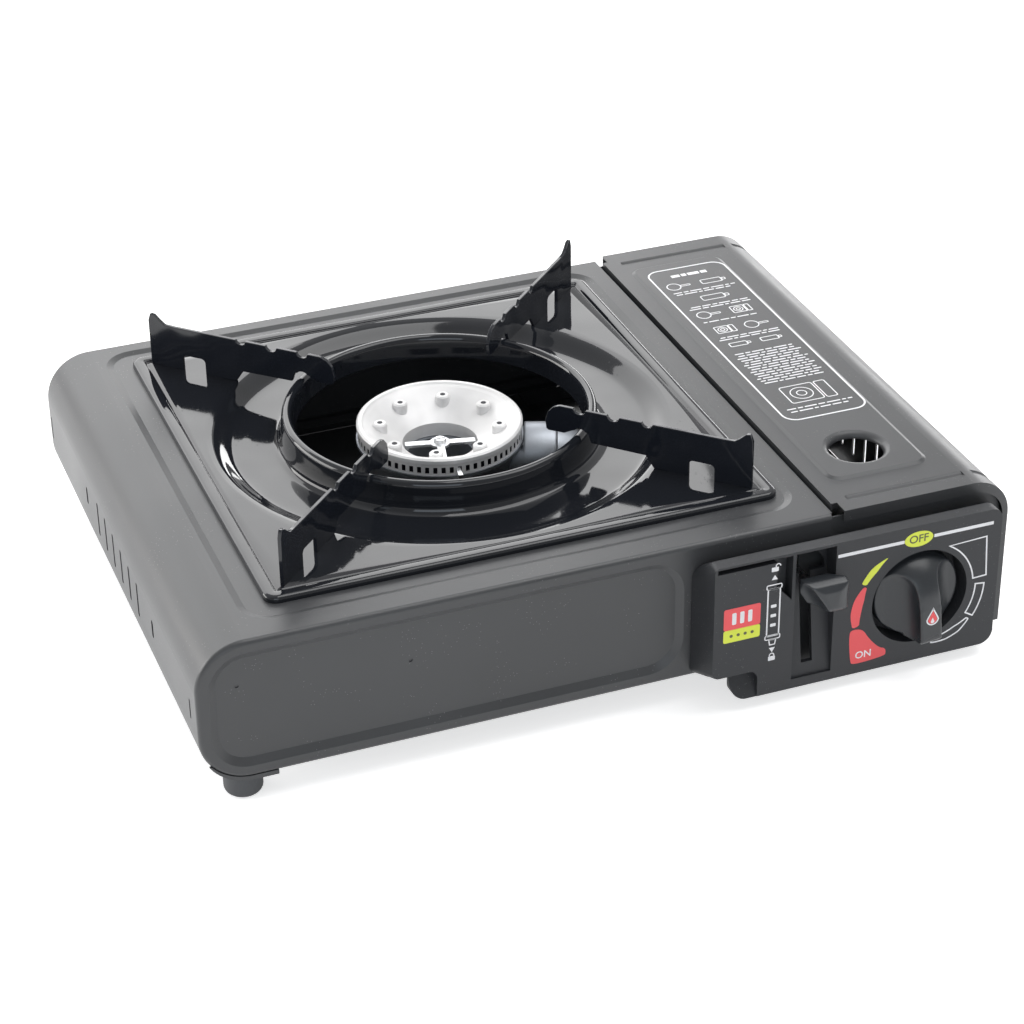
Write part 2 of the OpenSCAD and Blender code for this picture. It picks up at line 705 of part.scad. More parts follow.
module electrode_ceramic()
  color("white") place() translate([spark_x, spark_y, 0]) rotate_extrude() polygon([[0.9, 34],
    [3, 34], [3, 44], [4, 44], [4, 50], [3, 50], [2.4, 64], [1.9, 65], [0.9, 65]]);

module electrode_bracket()
  color("lightgray") place() difference() {
    union() {
      box([spark_x - 8, spark_y - 6, 43], [spark_x + 8, spark_y + 6, 44]);
      box([spark_x - 8, spark_y - 7, base_z + 2], [spark_x + 8, spark_y - 6, 44]);
      box([spark_x - 8, spark_y - 7, base_z + 2], [spark_x + 8, spark_y + 2, base_z + 3]);
    }
    cyl_z(spark_x, spark_y, 3, 40, 46);
    cyl_z(spark_x, spark_y - 1, 2.2, 10, 20);
    box([spark_x - 3, spark_y - 8, lead_z - 4], [spark_x + 3, spark_y - 5, lead_z + 8]);
  }

module piezo_igniter()
  color("ivory") place() {
    along_y(bulk_y + sheet, 26) rounded_all(261.5, 16.5, 274.5, 29.5, 3);
    cyl_y(268, lead_z, 4, 26, 30);
  }

module ignition_lead()
  color([0.1, 0.1, 0.1]) place() {
    cyl_y(268, lead_z, lead_r, 30, lead_y - lead_bend);
    translate([268 - lead_bend, lead_y - lead_bend, lead_z]) rotate_extrude(angle = 90)
      translate([lead_bend, 0]) circle(lead_r);
    cyl_x(lead_y, lead_z, lead_r, spark_x + lead_bend, 268 - lead_bend);
    translate([spark_x + lead_bend, lead_y + lead_bend, lead_z]) rotate(180)
      rotate_extrude(angle = 90) translate([lead_bend, 0]) circle(lead_r);
    cyl_y(spark_x, lead_z, lead_r, lead_y + lead_bend, spark_y - 8);
    translate([spark_x, spark_y - 8, lead_z + 8]) rotate([0, 90, 0])
      rotate_extrude(angle = 90) translate([8, 0]) circle(lead_r);
    cyl_z(spark_x, spark_y, lead_r, lead_z + 8, 33);
  }

// ---- knob ----------------------------------------------------------------------------------

module knob_spindle()
  color("silver") place() difference() {
    cyl_y(knob_x, knob_z, 3, -14, 18);
    box([knob_x - 4, -15, knob_z + 2.2], [knob_x + 4, -5, knob_z + 5]);
  }

module ignition_cam()
  color("silver") place() difference() {
    union() {
      cyl_y(knob_x, knob_z, 8, -2.6, 1.6);
      along_y(-2.6, 1.6) intersection() {
        translate([knob_x, knob_z]) circle(12);
        translate([knob_x - 13, knob_z - 4]) square([10, 6]);
      }
    }
    cyl_y(knob_x, knob_z, 3, -5, 5);
  }

dome_r = 19.6;
flank_r = 12.3;                       // hollow flanks of the grip
flank_top = 9;                        // where their arched tops start, above the axis

// Dome over the disc with a straight lower end, hollowed on both flanks.
module grip()
  difference() {
    intersection() {
      union() {
        translate([knob_x, dome_r - front_reach, knob_z]) sphere(r = dome_r);
        along_x(knob_x - 8, knob_x + 8)
          rounded(-front_reach, knob_z - 17.2, -8, knob_z, bl = 2.5);
      }
      cyl_y(knob_x, knob_z, knob_r - 0.6, -front_reach - 1, -8);
    }
    for (s = [-1, 1]) translate([knob_x + s * 17, knob_front - flank_r + 0.3, knob_z + flank_top]) {
      translate([0, 0, -40]) cylinder(r = flank_r, h = 40);
      sphere(r = flank_r);
    }
  }

// Turns its children about the knob's axis.
module turned(a)
  translate([knob_x, 0, knob_z]) rotate([0, a, 0]) translate([-knob_x, 0, -knob_z]) children();

module ignition_knob()
  color(plastic) place() difference() {
    union() {
      cyl_y(knob_x, knob_z, knob_r, knob_front + 0.5, recess_y - 0.6);
      translate([knob_x, knob_front + 0.5, knob_z]) rotate([90, 0, 0])
        cylinder(r1 = knob_r, r2 = knob_r - 0.5, h = 0.5);
      turned(-5) grip();
    }
    difference() {
      cyl_y(knob_x, knob_z, 3, -14, 0);
      box([knob_x - 4, -15, knob_z + 2.2], [knob_x + 4, -5, knob_z + 5]);
    }
    difference() {
      cyl_y(knob_x, knob_z, knob_r - 2, -7.6, 0);
      cyl_y(knob_x, knob_z, 6, -30, 0);
    }
  }

// ---- lock lever and cartridge yoke ---------------------------------------------------------

knob_back = -panel_t - gap;

module lever_plate()
  color("silver") place() difference() {
    union() {
      box([plate_x, 4.4, pin_z - 6], [plate_x + plate_t, 27, pin_z + lever_travel + 4.5]);
      box([plate_x, knob_back - 3.2, lever_z - 2.5], [plate_x + plate_t, 6, lever_z + 3.5]);
    }
    cam_slot();
  }

// Slanted slot that turns the lever's fall into the yoke's pull.
module cam_slot() {
  r = pin_r + 0.35;
  s = [yoke_travel, lever_travel];
  n = [s[1], s[0]] / norm(s) * r;
  along_x(plate_x - 1, plate_x + plate_t + 1) {
    polygon([[pin_y - n[0], pin_z - n[1]], [pin_y + n[0], pin_z + n[1]],
      [pin_y - s[0] + n[0], pin_z + s[1] + n[1]], [pin_y - s[0] - n[0], pin_z + s[1] - n[1]]]);
    translate([pin_y, pin_z]) circle(r);
    translate([pin_y - s[0], pin_z + s[1]]) circle(r);
  }
}

module lever_knob()
  color(plastic) place() difference() {
    intersection() {
      along_x(239, 257.2) polygon([[knob_back, lever_z - 5.5], [knob_back - 5, lever_z - 6.6],
        [knob_back - 8, lever_z - 6], [knob_back - 9.2, lever_z - 4.2], [knob_back - 8.8, lever_z + 3.4],
        [knob_back - 7, lever_z + 6], [knob_back - 4, lever_z + 7], [knob_back, lever_z + 7.2]]);
      cyl_z(249.5, -10, 14.6, lever_z - 10, lever_z + 10);
    }
    translate([230.3, -25.1, lever_z + 1.8]) rotate([0, -30, 0]) cylinder(r = 12, h = 60, center = true);
    translate([0, 0, lever_z - 10]) linear_extrude(20)
      polygon([[249, knob_back + 1], [259, knob_back + 1], [259, knob_back - 4.5]]);
    box([plate_x, knob_back - 3.2, lever_z - 2.5], [plate_x + plate_t, 0, lever_z + 3.5]);
    box([240, knob_back - 3.5, lever_z - 8], [255, knob_back + 1, lever_z - 5]);
  }

module yoke_rods()
  color("silver") place() for (x = [-rod_off, rod_off]) {
    cyl_y(gas_x + x, rod_z, rod_r, 1.4, 60);
    cyl_y(gas_x + x, rod_z, rod_r + 1, 58, 60);
  }

module cartridge_yoke()
  color("lightgray") place() difference() {
    union() {
      along_y(yoke_y, yoke_y + 1.5) rounded(gas_x - 31, 8.5, gas_x + 31, 56, 5, 5, 6, 6);
      for (x = [-rod_off, rod_off]) cyl_y(gas_x + x, rod_z, rod_r + 2, yoke_y - 4, yoke_y + 5);
      box([part_x + 2.4, pin_y - 4, 30], [part_x + 3.8, yoke_y + 1.5, 44]);
      box([part_x + 2.4, yoke_y, 30], [gas_x - 30, yoke_y + 1.5, 44]);
    }
    along_y(yoke_y - 1, yoke_y + 3) {
      translate([gas_x, gas_z]) circle(17.5);
      translate([gas_x - 17.5, gas_z]) square([35, 30]);
    }
    for (x = [-rod_off, rod_off]) cyl_y(gas_x + x, rod_z, rod_r + run, yoke_y - 9, yoke_y + 9);
    cyl_x(pin_y, pin_z, pin_r, 230, 262);
  }

module yoke_pin()
  color("silver") place() {
    cyl_x(pin_y, pin_z, pin_r, plate_x - 2, part_x + 3.8);
    cyl_x(pin_y, pin_z, pin_r + 0.9, part_x + 3.8, part_x + 4.8);
  }

module cartridge_cradle()
  color("lightgray") place() difference() {
    union() {
      box([gas_x - 20, 66, trough_z + sheet], [gas_x + 20, 230, trough_z + 2 * sheet]);
      for (s = [-1, 1]) along_y(66, 230) polygon([[gas_x + s * 19.4, trough_z + sheet],
        [gas_x + s * 20, trough_z + sheet], [gas_x + s * 25.5, 11], [gas_x + s * 24.9, 11.3]]);
    }
    for (y = [84 : 26 : 214]) box([gas_x - 8, y, trough_z], [gas_x + 8, y + 12, trough_z + 4]);
  }

// ---- cartridge cover -----------------------------------------------------------------------

module cover_outline(inset, left)
  rounded(left, hinge_z - 2, body_w - inset, lid_h - inset, tr = lid_r - inset);

// A pressed groove across the top and round the long edge, as a rod of radius r that dips into it.
module cover_groove(y, r, dip, start) {
  lift = groove_r - dip;
  translate([start, y, lid_h + lift]) rotate([0, 90, 0]) cylinder(r = r, h = body_w - lid_r - start);
  translate([start, y, lid_h + lift]) sphere(r = r);
  translate([body_w - lid_r, y, lid_h - lid_r]) rotate([90, 0, 0])
    rotate_extrude(angle = 76) translate([lid_r + lift, 0]) circle(r);
}

panel_area = [270.5, 22, 315.5, 231];  // pressed field of the cover: left, front, right, rear
field_rise = 0.8;
field_top = lid_h + field_rise;
field_slope = 1.6;
groove_r = 3;
groove_dip = 0.65;

module cover_field(inset, h)
  linear_extrude(h) rounded_all(panel_area[0] + inset, panel_area[1] + inset, panel_area[2] - inset,
    panel_area[3] - inset, 6 - inset);

module cartridge_cover()
  color(steel) place() difference() {
    union() {
      difference() {
        along_y(0, body_d) difference() {
          cover_outline(0, lid_x);
          cover_outline(sheet, lid_x - 1);
          square([body_w - sheet, hinge_z - 1.9]);
        }
        translate([0, 0, lid_h - 2]) cover_field(0, 4);
      }
      translate([panel_area[0], panel_area[1], lid_h])
        rim_sweep(panel_area[2] - panel_area[0], panel_area[3] - panel_area[1], 6)
          polygon([[0, 0], [field_slope, field_rise], [field_slope, field_rise - sheet], [0, -sheet]]);
      translate([0, 0, field_top - sheet]) cover_field(field_slope, sheet);
      for (y = [0, body_d - sheet]) along_y(y, y + sheet) difference() {
        cover_outline(0, lid_x);
        rounded(lid_x - 1, -1, body_w - 2.4, lid_h - 5, tr = lid_r - 4);
      }
      box([lid_x, 0, lid_h - 3.4], [lid_x + sheet, body_d, lid_h - 0.4]);
      translate([hole_x, hole_y, 0]) rotate_extrude()
        translate([hole_r + 2.75, field_top - 2.75]) quarter_ring(2.75, sheet, 90);
      for (y = knuckles) {
        cyl_y(hinge_x, hinge_z, knuckle_r, y - knuckle_l / 2, y + knuckle_l / 2);
        box([hinge_x + 1, y - knuckle_l / 2, hinge_z - 2], [body_w - 0.2, y + knuckle_l / 2, hinge_z + 2.6]);
      }
    }
    cyl_z(hole_x, hole_y, hole_r, 50, 90);
    hole_mouth();
    for (y = [9, 239]) cover_groove(y, groove_r, groove_dip, lid_x + 9);
    for (y = [-1, body_d - 7]) box([lid_x - 1, y, 60], [lid_x + 2.6, y + 8, 90]);
    for (i = [0 : 6]) along_x(body_w - 3, body_w + 1)
      translate([cover_vent_y + i * cover_vent_pitch, 0]) {
        translate([-1.1, 15]) square([2.2, 18]);
        translate([0, 15]) circle(1.1);
        translate([0, 33]) circle(1.1);
      }
    for (y = knuckles)
      cyl_y(hinge_x, hinge_z, hinge_r + run, y - knuckle_l, y + knuckle_l);
  }

// Opens the sheet over the dished lip of the inspection hole.
module hole_mouth()
  translate([hole_x, hole_y, field_top]) rotate_extrude() difference() {
    translate([0, -2.75]) square([hole_r + 2.75, 4]);
    translate([hole_r + 2.75, -2.75]) circle(2.75);
  }

module hinge_rod()
  color("silver") place() cyl_y(hinge_x, hinge_z, hinge_r, rod_y0 - 5, rod_y1);

// ---- drip tray -----------------------------------------------------------------------------

well_r = 96.5;
well_floor = -4;
plateau = 0.9;
tray_t = 1;
tray_r = 5.5;                         // corners of the tray
bead_r = 1.9;                         // bead along its edge
border = 4.9;                         // edge to the flat part

module drip_tray()
  color(enamel) place() translate([tray_x, tray_y, case_h]) difference() {
    union() {
      translate([-tray_w / 2, -tray_w / 2, 0]) rim_sweep(tray_w, tray_w, tray_r) {
        bead_z = tray_bead_h - bead_r;
        difference() {
          translate([bead_r, bead_z]) circle(bead_r);
          translate([bead_r, bead_z]) circle(bead_r - tray_t);
          translate([-1, -5]) square([8, 5 + bead_z]);
        }
        translate([0, -0.2]) square([tray_t, bead_z + 0.2]);
        polygon([[2 * bead_r - tray_t, bead_z], [2 * bead_r, bead_z], [border, plateau],
          [border, plateau - tray_t], [2 * bead_r - tray_t, plateau - tray_t]]);
      }
      translate([0, 0, plateau - tray_t]) linear_extrude(tray_t) difference() {
        rounded_all(border - tray_w / 2, border - tray_w / 2, tray_w / 2 - border, tray_w / 2 - border,
          tray_r - border);
        circle(well_r);
      }
      rotate_extrude() tray_section();
    }
    for (i = [0 : 3]) rotate(45 + 90 * i) for (r = [103, 126])
      translate([r, -support_t / 2, -5]) cube([7, support_t, 10]);
  }

// From the plateau down into the well, over its floor and up round the ring's bead.
module tray_section() {
  floor_r = ring_r + 2.8;
  polygon([[well_r, plateau], [well_r, plateau - tray_t], [88, well_floor - tray_t], [88, well_floor],
    [89, well_floor + 0.5]]);
  translate([floor_r, well_floor - tray_t]) square([88 - floor_r, tray_t]);
  translate([floor_r, well_floor + 2]) quarter_ring(3, tray_t, 180);
  wall_top = ring_h - 2.2;
  polygon([[floor_r - 3, well_floor + 2], [floor_r - 2, well_floor + 2], [ring_r, wall_top],
    [ring_r - 1, wall_top]]);
  difference() {
    translate([ring_r - 2.2, wall_top]) circle(2.2);
    translate([ring_r - 2.2, wall_top]) circle(1.2);
    translate([ring_r - 5, wall_top - 6]) square([6, 6]);
  }
  polygon([[ring_r - 4.4, wall_top], [ring_r - 3.4, wall_top], [ring_r - 4.8, 0], [ring_r - 5.8, 0]]);
}

// ---- pan supports --------------------------------------------------------------------------

// One support from the tray's centre outwards: u is the radius, v the height over the casing.
module support_profile()
  difference() {
    union() {
      polygon([[50, 8.6], [57, 8.7], [61, 10.8], [67.5, 10.8], [69, 6.5], [93, 6.1], [96.5, plateau],
        [support_r, plateau], [support_r, 22], [137.4, 25.3], [135.4, 25], [132.6, 22.4],
        [130.6, 21], [126, support_h], [55, support_h], [52, 19.8], [49.6, 17], [48.6, 13],
        [49, 9.4]]);
    }
    for (notch = [[93.3, 2.4], [78.5, 2.7], [63.7, 2.7]])
      translate([notch[0], support_h + 0.5]) circle(notch[1]);
    translate([111.5, -5]) square([11, 13 - 2]);
    translate([113.5, 0]) square([7, 8]);
    for (x = [113.5, 120.5]) translate([x, 6]) circle(2);
    translate([64, 8.8]) circle(3.2);
  }

module pan_support(a)
  color(enamel) place() translate([tray_x, tray_y, case_h]) rotate(a) {
    along_y(-support_t / 2, support_t / 2) support_profile();
    for (r = [103, 126]) translate([r, -support_t / 2, -2.6]) cube([7, support_t, plateau + 2.6]);
    for (r = [103, 126]) translate([r, -support_t / 2, -2.6]) cube([7, 4.6, 1.2]);
  }

module pan_support_front_right() pan_support(-45);
module pan_support_rear_right() pan_support(45);
module pan_support_rear_left() pan_support(135);
module pan_support_front_left() pan_support(225);

// ---- drawing -------------------------------------------------------------------------------

base_pan();
top_casing();
front_plate();
rear_plate();
front_bulkhead();
rear_bulkhead();
heat_partition();
foot_front_left();
foot_rear_left();
foot_front_right();
foot_rear_right();
case_screws();
control_panel();
panel_screws();
gas_regulator();
regulator_screws();
gas_pipe();
nozzle_holder();
gas_nozzle();
burner_body();
burner_head();
head_bridge();
bridge_screw();
burner_brackets();
burner_screws();
electrode();
electrode_ceramic();
electrode_bracket();
piezo_igniter();
ignition_lead();
knob_spindle();
ignition_cam();
ignition_knob();
lever_plate();
lever_knob();
yoke_rods();
cartridge_yoke();
yoke_pin();
cartridge_cradle();
hinge_rod();
cartridge_cover();
drip_tray();
pan_support_front_right();
pan_support_rear_right();
pan_support_rear_left();
pan_support_front_left();
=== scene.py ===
import json
import math
import bmesh
import bpy
import numpy as np
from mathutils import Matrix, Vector


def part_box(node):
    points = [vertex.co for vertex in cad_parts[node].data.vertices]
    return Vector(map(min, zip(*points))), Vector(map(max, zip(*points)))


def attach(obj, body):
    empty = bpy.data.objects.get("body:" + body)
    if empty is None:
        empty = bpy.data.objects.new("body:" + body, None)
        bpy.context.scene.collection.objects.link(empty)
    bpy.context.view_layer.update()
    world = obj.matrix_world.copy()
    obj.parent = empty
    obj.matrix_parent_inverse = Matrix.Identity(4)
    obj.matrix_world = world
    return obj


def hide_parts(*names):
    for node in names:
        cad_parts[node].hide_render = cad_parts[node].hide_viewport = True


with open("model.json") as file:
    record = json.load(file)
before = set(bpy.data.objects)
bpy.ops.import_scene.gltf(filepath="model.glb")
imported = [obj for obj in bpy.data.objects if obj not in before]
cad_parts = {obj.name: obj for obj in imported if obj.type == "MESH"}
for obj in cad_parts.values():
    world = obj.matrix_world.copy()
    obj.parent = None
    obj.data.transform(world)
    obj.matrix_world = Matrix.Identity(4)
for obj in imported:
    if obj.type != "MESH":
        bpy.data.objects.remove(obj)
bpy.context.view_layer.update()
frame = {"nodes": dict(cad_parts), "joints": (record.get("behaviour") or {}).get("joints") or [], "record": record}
nodes = frame["nodes"]
bodies = {name: body for body, group in frame["record"]["behaviour"]["bodies"].items() for name in group}
mm = 0.001

# Places worked out from the frame, in metres.
caseLow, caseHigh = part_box("top_casing")
coverLow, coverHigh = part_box("cartridge_cover")
headLow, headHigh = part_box("burner_head")
burnerX = (headLow.x + headHigh.x) / 2
burnerY = (headLow.y + headHigh.y) / 2
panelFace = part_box("control_panel")[0].y
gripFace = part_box("ignition_knob")[0].y
knobAxis = Vector(next(joint for joint in frame["joints"] if joint["name"] == "knob_turn")["pos_m"])
print("frame loaded:", len(nodes), "nodes")


def linkObject(obj):
    bpy.context.scene.collection.objects.link(obj)
    return obj


# Puts a plain number or colour on a socket, or links another socket to it.
def feed(tree, socket, value):
    if isinstance(value, bpy.types.NodeSocket):
        tree.links.new(value, socket)
    elif socket.type == "RGBA":
        socket.default_value = (*value, 1)
    else:
        socket.default_value = value


def addMath(tree, operation, a, b=None):
    node = tree.nodes.new("ShaderNodeMath")
    node.operation = operation
    feed(tree, node.inputs[0], a)
    if b is not None:
        feed(tree, node.inputs[1], b)
    return node.outputs[0]


def addRange(tree, value, low, high, toLow, toHigh, smooth=False):
    node = tree.nodes.new("ShaderNodeMapRange")
    node.interpolation_type = "SMOOTHSTEP" if smooth else "LINEAR"
    for socket, v in zip(node.inputs, (value, low, high, toLow, toHigh)):
        feed(tree, socket, v)
    return node.outputs["Result"]


# The Mix node has its inputs and outputs once for each data type, so they are taken by number.
def mixValue(tree, factor, a, b):
    node = tree.nodes.new("ShaderNodeMix")
    node.data_type = "FLOAT"
    for i, value in ((0, factor), (2, a), (3, b)):
        feed(tree, node.inputs[i], value)
    return node.outputs[0]


def mixColour(tree, factor, a, b):
    node = tree.nodes.new("ShaderNodeMix")
    node.data_type = "RGBA"
    for i, value in ((0, factor), (6, a), (7, b)):
        feed(tree, node.inputs[i], value)
    return node.outputs[2]


def addNoise(tree, vector, scale, detail=2.0, rough=0.5):
    node = tree.nodes.new("ShaderNodeTexNoise")
    for label, value in (("Vector", vector), ("Scale", scale), ("Detail", detail), ("Roughness", rough)):
        feed(tree, node.inputs[label], value)
    return node.outputs["Fac"]


def addCells(tree, vector, scale):
    node = tree.nodes.new("ShaderNodeTexVoronoi")
    feed(tree, node.inputs["Vector"], vector)
    feed(tree, node.inputs["Scale"], scale)
    return node.outputs


def addBump(tree, shader, height, depth, before=None):
    bump = tree.nodes.new("ShaderNodeBump")
    bump.inputs["Strength"].default_value = 1.0
    bump.inputs["Distance"].default_value = depth
    feed(tree, bump.inputs["Height"], height)
    if before is not None:
        feed(tree, bump.inputs["Normal"], before)
    feed(tree, shader.inputs["Normal"], bump.outputs["Normal"])
    return bump.outputs["Normal"]


cameraView = {"place": (-0.34772, -0.92828, 0.62696), "turn": (59.046, 0.7105, -20.8256), "lens": 95.73,
              "far": 50}


def addCamera():
    data = bpy.data.cameras.new("viewCamera")
    data.lens = cameraView["lens"]
    data.clip_end = cameraView["far"]
    camera = linkObject(bpy.data.objects.new("viewCamera", data))
    camera.location = cameraView["place"]
    camera.rotation_euler = [math.radians(a) for a in cameraView["turn"]]
    bpy.context.scene.camera = camera


lampAim = Vector((0, 0, 0.06))
softboxes = {  # place, size, radiance, colour
    "backPanel": ((-0.2, 1.95, 1.02), (2.4, 1.35), 2.2, (1.0, 1.0, 1.0)),
    "rightLow": ((1.5, 1.7, 0.3), (1.2, 0.42), 4.2, (1.0, 1.0, 1.0)),
    "topBox": ((0.45, -0.1, 1.3), (1.0, 1.0), 2.5, (1.0, 1.0, 1.0)),
    "leftBox": ((-1.5, 0.75, 0.42), (1.3, 0.7), 4.4, (1.0, 0.985, 0.96)),
    "frontBox": ((-0.8, -2.0, 1.0), (1.3, 0.9), 1.4, (0.78, 0.89, 1.0)),
}


def addSoftbox(name, place, size, radiance, colour):
    data = bpy.data.lights.new(name, "AREA")
    data.shape = "RECTANGLE"
    data.size, data.size_y = size
    data.energy = 4 * size[0] * size[1] * radiance  # an area lamp's radiance is power / (4 * area)
    data.color = colour
    lamp = linkObject(bpy.data.objects.new(name, data))
    lamp.location = place
    lamp.rotation_euler = (lampAim - Vector(place)).to_track_quat("-Z", "Y").to_euler()


# 1 for camera, glossy and transmission rays, 0 for the rest.
def seenDirectly(tree):
    path = tree.nodes.new("ShaderNodeLightPath")
    first = addMath(tree, "MAXIMUM", path.outputs["Is Camera Ray"], path.outputs["Is Glossy Ray"])
    return addMath(tree, "MAXIMUM", first, path.outputs["Is Transmission Ray"]), path


skyLook = {  # levels: fill for diffuse rays, front and behind for mirrored ones; the camera sees 1
    "fill": 0.5, "front": 0.45, "behind": 0.8, "turn": (-0.45, 0.25),  # turn is where along Y they change
    "low": 1.25, "rise": (0.12, 0.34),  # a factor near the horizon, and where along Z it fades to 1
}


def addWorld():
    look = skyLook
    world = bpy.data.worlds.new("studio")
    world.use_nodes = True
    tree = world.node_tree
    background = tree.nodes["Background"]
    background.inputs["Color"].default_value = (1, 1, 1, 1)
    direct, path = seenDirectly(tree)
    split = tree.nodes.new("ShaderNodeSeparateXYZ")
    feed(tree, split.inputs[0], tree.nodes.new("ShaderNodeTexCoord").outputs["Generated"])
    side = addRange(tree, split.outputs["Y"], *look["turn"], look["front"], look["behind"], smooth=True)
    low = addRange(tree, split.outputs["Z"], *look["rise"], look["low"], 1.0, smooth=True)
    mirrored = mixValue(tree, path.outputs["Is Glossy Ray"], 1.0, addMath(tree, "MULTIPLY", side, low))
    feed(tree, background.inputs["Strength"], mixValue(tree, direct, look["fill"], mirrored))
    bpy.context.scene.world = world


floorLook = {"size": 9.0, "colour": (0.86, 0.86, 0.86), "rough": 0.9, "specular": 0.1, "glow": 0.62}


def addFloor():
    look = floorLook
    half = look["size"] / 2
    mesh = bpy.data.meshes.new("floor")
    corners = [(-half, -half, 0), (half, -half, 0), (half, half, 0), (-half, half, 0)]
    mesh.from_pydata(corners, [], [(0, 1, 2, 3)])
    floor = linkObject(bpy.data.objects.new("floor", mesh))
    material = bpy.data.materials.new("paleFloor")
    material.use_nodes = True
    tree = material.node_tree
    shader = tree.nodes["Principled BSDF"]
    feed(tree, shader.inputs["Base Color"], look["colour"])
    feed(tree, shader.inputs["Roughness"], look["rough"])
    feed(tree, shader.inputs["Specular IOR Level"], look["specular"])
    direct, _ = seenDirectly(tree)
    glow = tree.nodes.new("ShaderNodeEmission")
    feed(tree, glow.inputs["Strength"], addMath(tree, "MULTIPLY", direct, look["glow"]))
    both = tree.nodes.new("ShaderNodeAddShader")
    feed(tree, both.inputs[0], shader.outputs[0])
    feed(tree, both.inputs[1], glow.outputs[0])
    feed(tree, tree.nodes["Material Output"].inputs["Surface"], both.outputs[0])
    mesh.materials.append(material)


addCamera()
for boxName, boxLook in softboxes.items():
    addSoftbox(boxName, *boxLook)
addWorld()
addFloor()
bpy.context.scene.view_settings.view_transform = "Standard"
print("studio ready")


def newGroup(name, inputs, outputs):
    group = bpy.data.node_groups.new(name, "ShaderNodeTree")
    for label, kind, value in inputs:
        socket = group.interface.new_socket(label, in_out="INPUT", socket_type=kind)
        if value is not None:
            socket.default_value = value
    for label in outputs:
        group.interface.new_socket(label, in_out="OUTPUT", socket_type="NodeSocketFloat")
    return group, group.nodes.new("NodeGroupInput").outputs, group.nodes.new("NodeGroupOutput").inputs


# Fine grain: noise of the given grain size, given back as a height and as a slow drift from 0 to 1.
def makeGrainGroup():
    group, inside, outside = newGroup("fineGrain", [
        ("Vector", "NodeSocketVector", None), ("Scale", "NodeSocketFloat", 1000.0),
        ("Drift Scale", "NodeSocketFloat", 12.0)], ["Height", "Drift"])
    fine = addNoise(group, inside["Vector"], inside["Scale"], detail=3.0, rough=0.6)
    drift = addNoise(group, inside["Vector"], inside["Drift Scale"], detail=2.0, rough=0.5)
    feed(group, outside["Height"], fine)
    feed(group, outside["Drift"], addRange(group, drift, 0.35, 0.65, 0.0, 1.0))
    return group


speckLook = {"cells": 700.0, "size": 0.12, "patches": 45.0, "patchLevel": 0.56, "colour": (0.5, 0.5, 0.5)}


# Sparse specks of dust: cells smaller than the given size, kept where a second noise is high.
def makeSpeckGroup():
    look = speckLook
    group, inside, outside = newGroup("dustSpecks", [
        ("Vector", "NodeSocketVector", None), ("Scale", "NodeSocketFloat", look["cells"]),
        ("Size", "NodeSocketFloat", look["size"])], ["Mask"])
    cells = addCells(group, inside["Vector"], inside["Scale"])
    spot = addMath(group, "LESS_THAN", cells["Distance"], inside["Size"])
    where = addNoise(group, inside["Vector"], look["patches"], detail=1.0, rough=0.5)
    patch = addMath(group, "GREATER_THAN", where, look["patchLevel"])
    feed(group, outside["Mask"], addMath(group, "MULTIPLY", spot, patch))
    return group


grainGroup = makeGrainGroup()
speckGroup = makeSpeckGroup()


def useGroup(tree, group, **values):
    node = tree.nodes.new("ShaderNodeGroup")
    node.node_tree = group
    for label, value in values.items():
        feed(tree, node.inputs[label.replace("_", " ")], value)
    return node.outputs


# A material with its shader, the object's coordinates and the look's plain values set.
def startMaterial(name, look):
    material = bpy.data.materials.new(name)
    material.use_nodes = True
    tree = material.node_tree
    shader = tree.nodes["Principled BSDF"]
    feed(tree, shader.inputs["Base Color"], look["colour"])
    feed(tree, shader.inputs["Roughness"], look["rough"])
    feed(tree, shader.inputs["Metallic"], look.get("metal", 0.0))
    feed(tree, shader.inputs["IOR"], look.get("ior", 1.5))
    return material, tree, shader, tree.nodes.new("ShaderNodeTexCoord").outputs["Object"]


# Roughness that follows a value from 0 to 1, within the look's spread about its plain roughness.
def varyRoughness(tree, shader, value, look, low=0.0, high=1.0):
    less, more = look["roughSpread"]
    rough = addRange(tree, value, low, high, look["rough"] - less, look["rough"] + more)
    feed(tree, shader.inputs["Roughness"], rough)


plainLook = {"lift": 1.15, "driftScale": 14.0, "roughSpread": (0.05, 0.05), "specks": 0.0}


# Grain bump, a slow drift of colour and roughness, and a few specks.
def plainFinish(name, ownLook):
    look = {**plainLook, **ownLook}
    material, tree, shader, place = startMaterial(name, look)
    grain = useGroup(tree, grainGroup, Vector=place, Scale=look["grain"], Drift_Scale=look["driftScale"])
    light = tuple(min(1.0, c * look["lift"]) for c in look["colour"])
    colour = mixColour(tree, grain["Drift"], look["colour"], light)
    if look["specks"]:
        specks = useGroup(tree, speckGroup, Vector=place)
        amount = addMath(tree, "MULTIPLY", specks["Mask"], look["specks"])
        colour = mixColour(tree, amount, colour, speckLook["colour"])
    feed(tree, shader.inputs["Base Color"], colour)
    varyRoughness(tree, shader, grain["Drift"], look)
    addBump(tree, shader, grain["Height"], look["depth"])
    return material


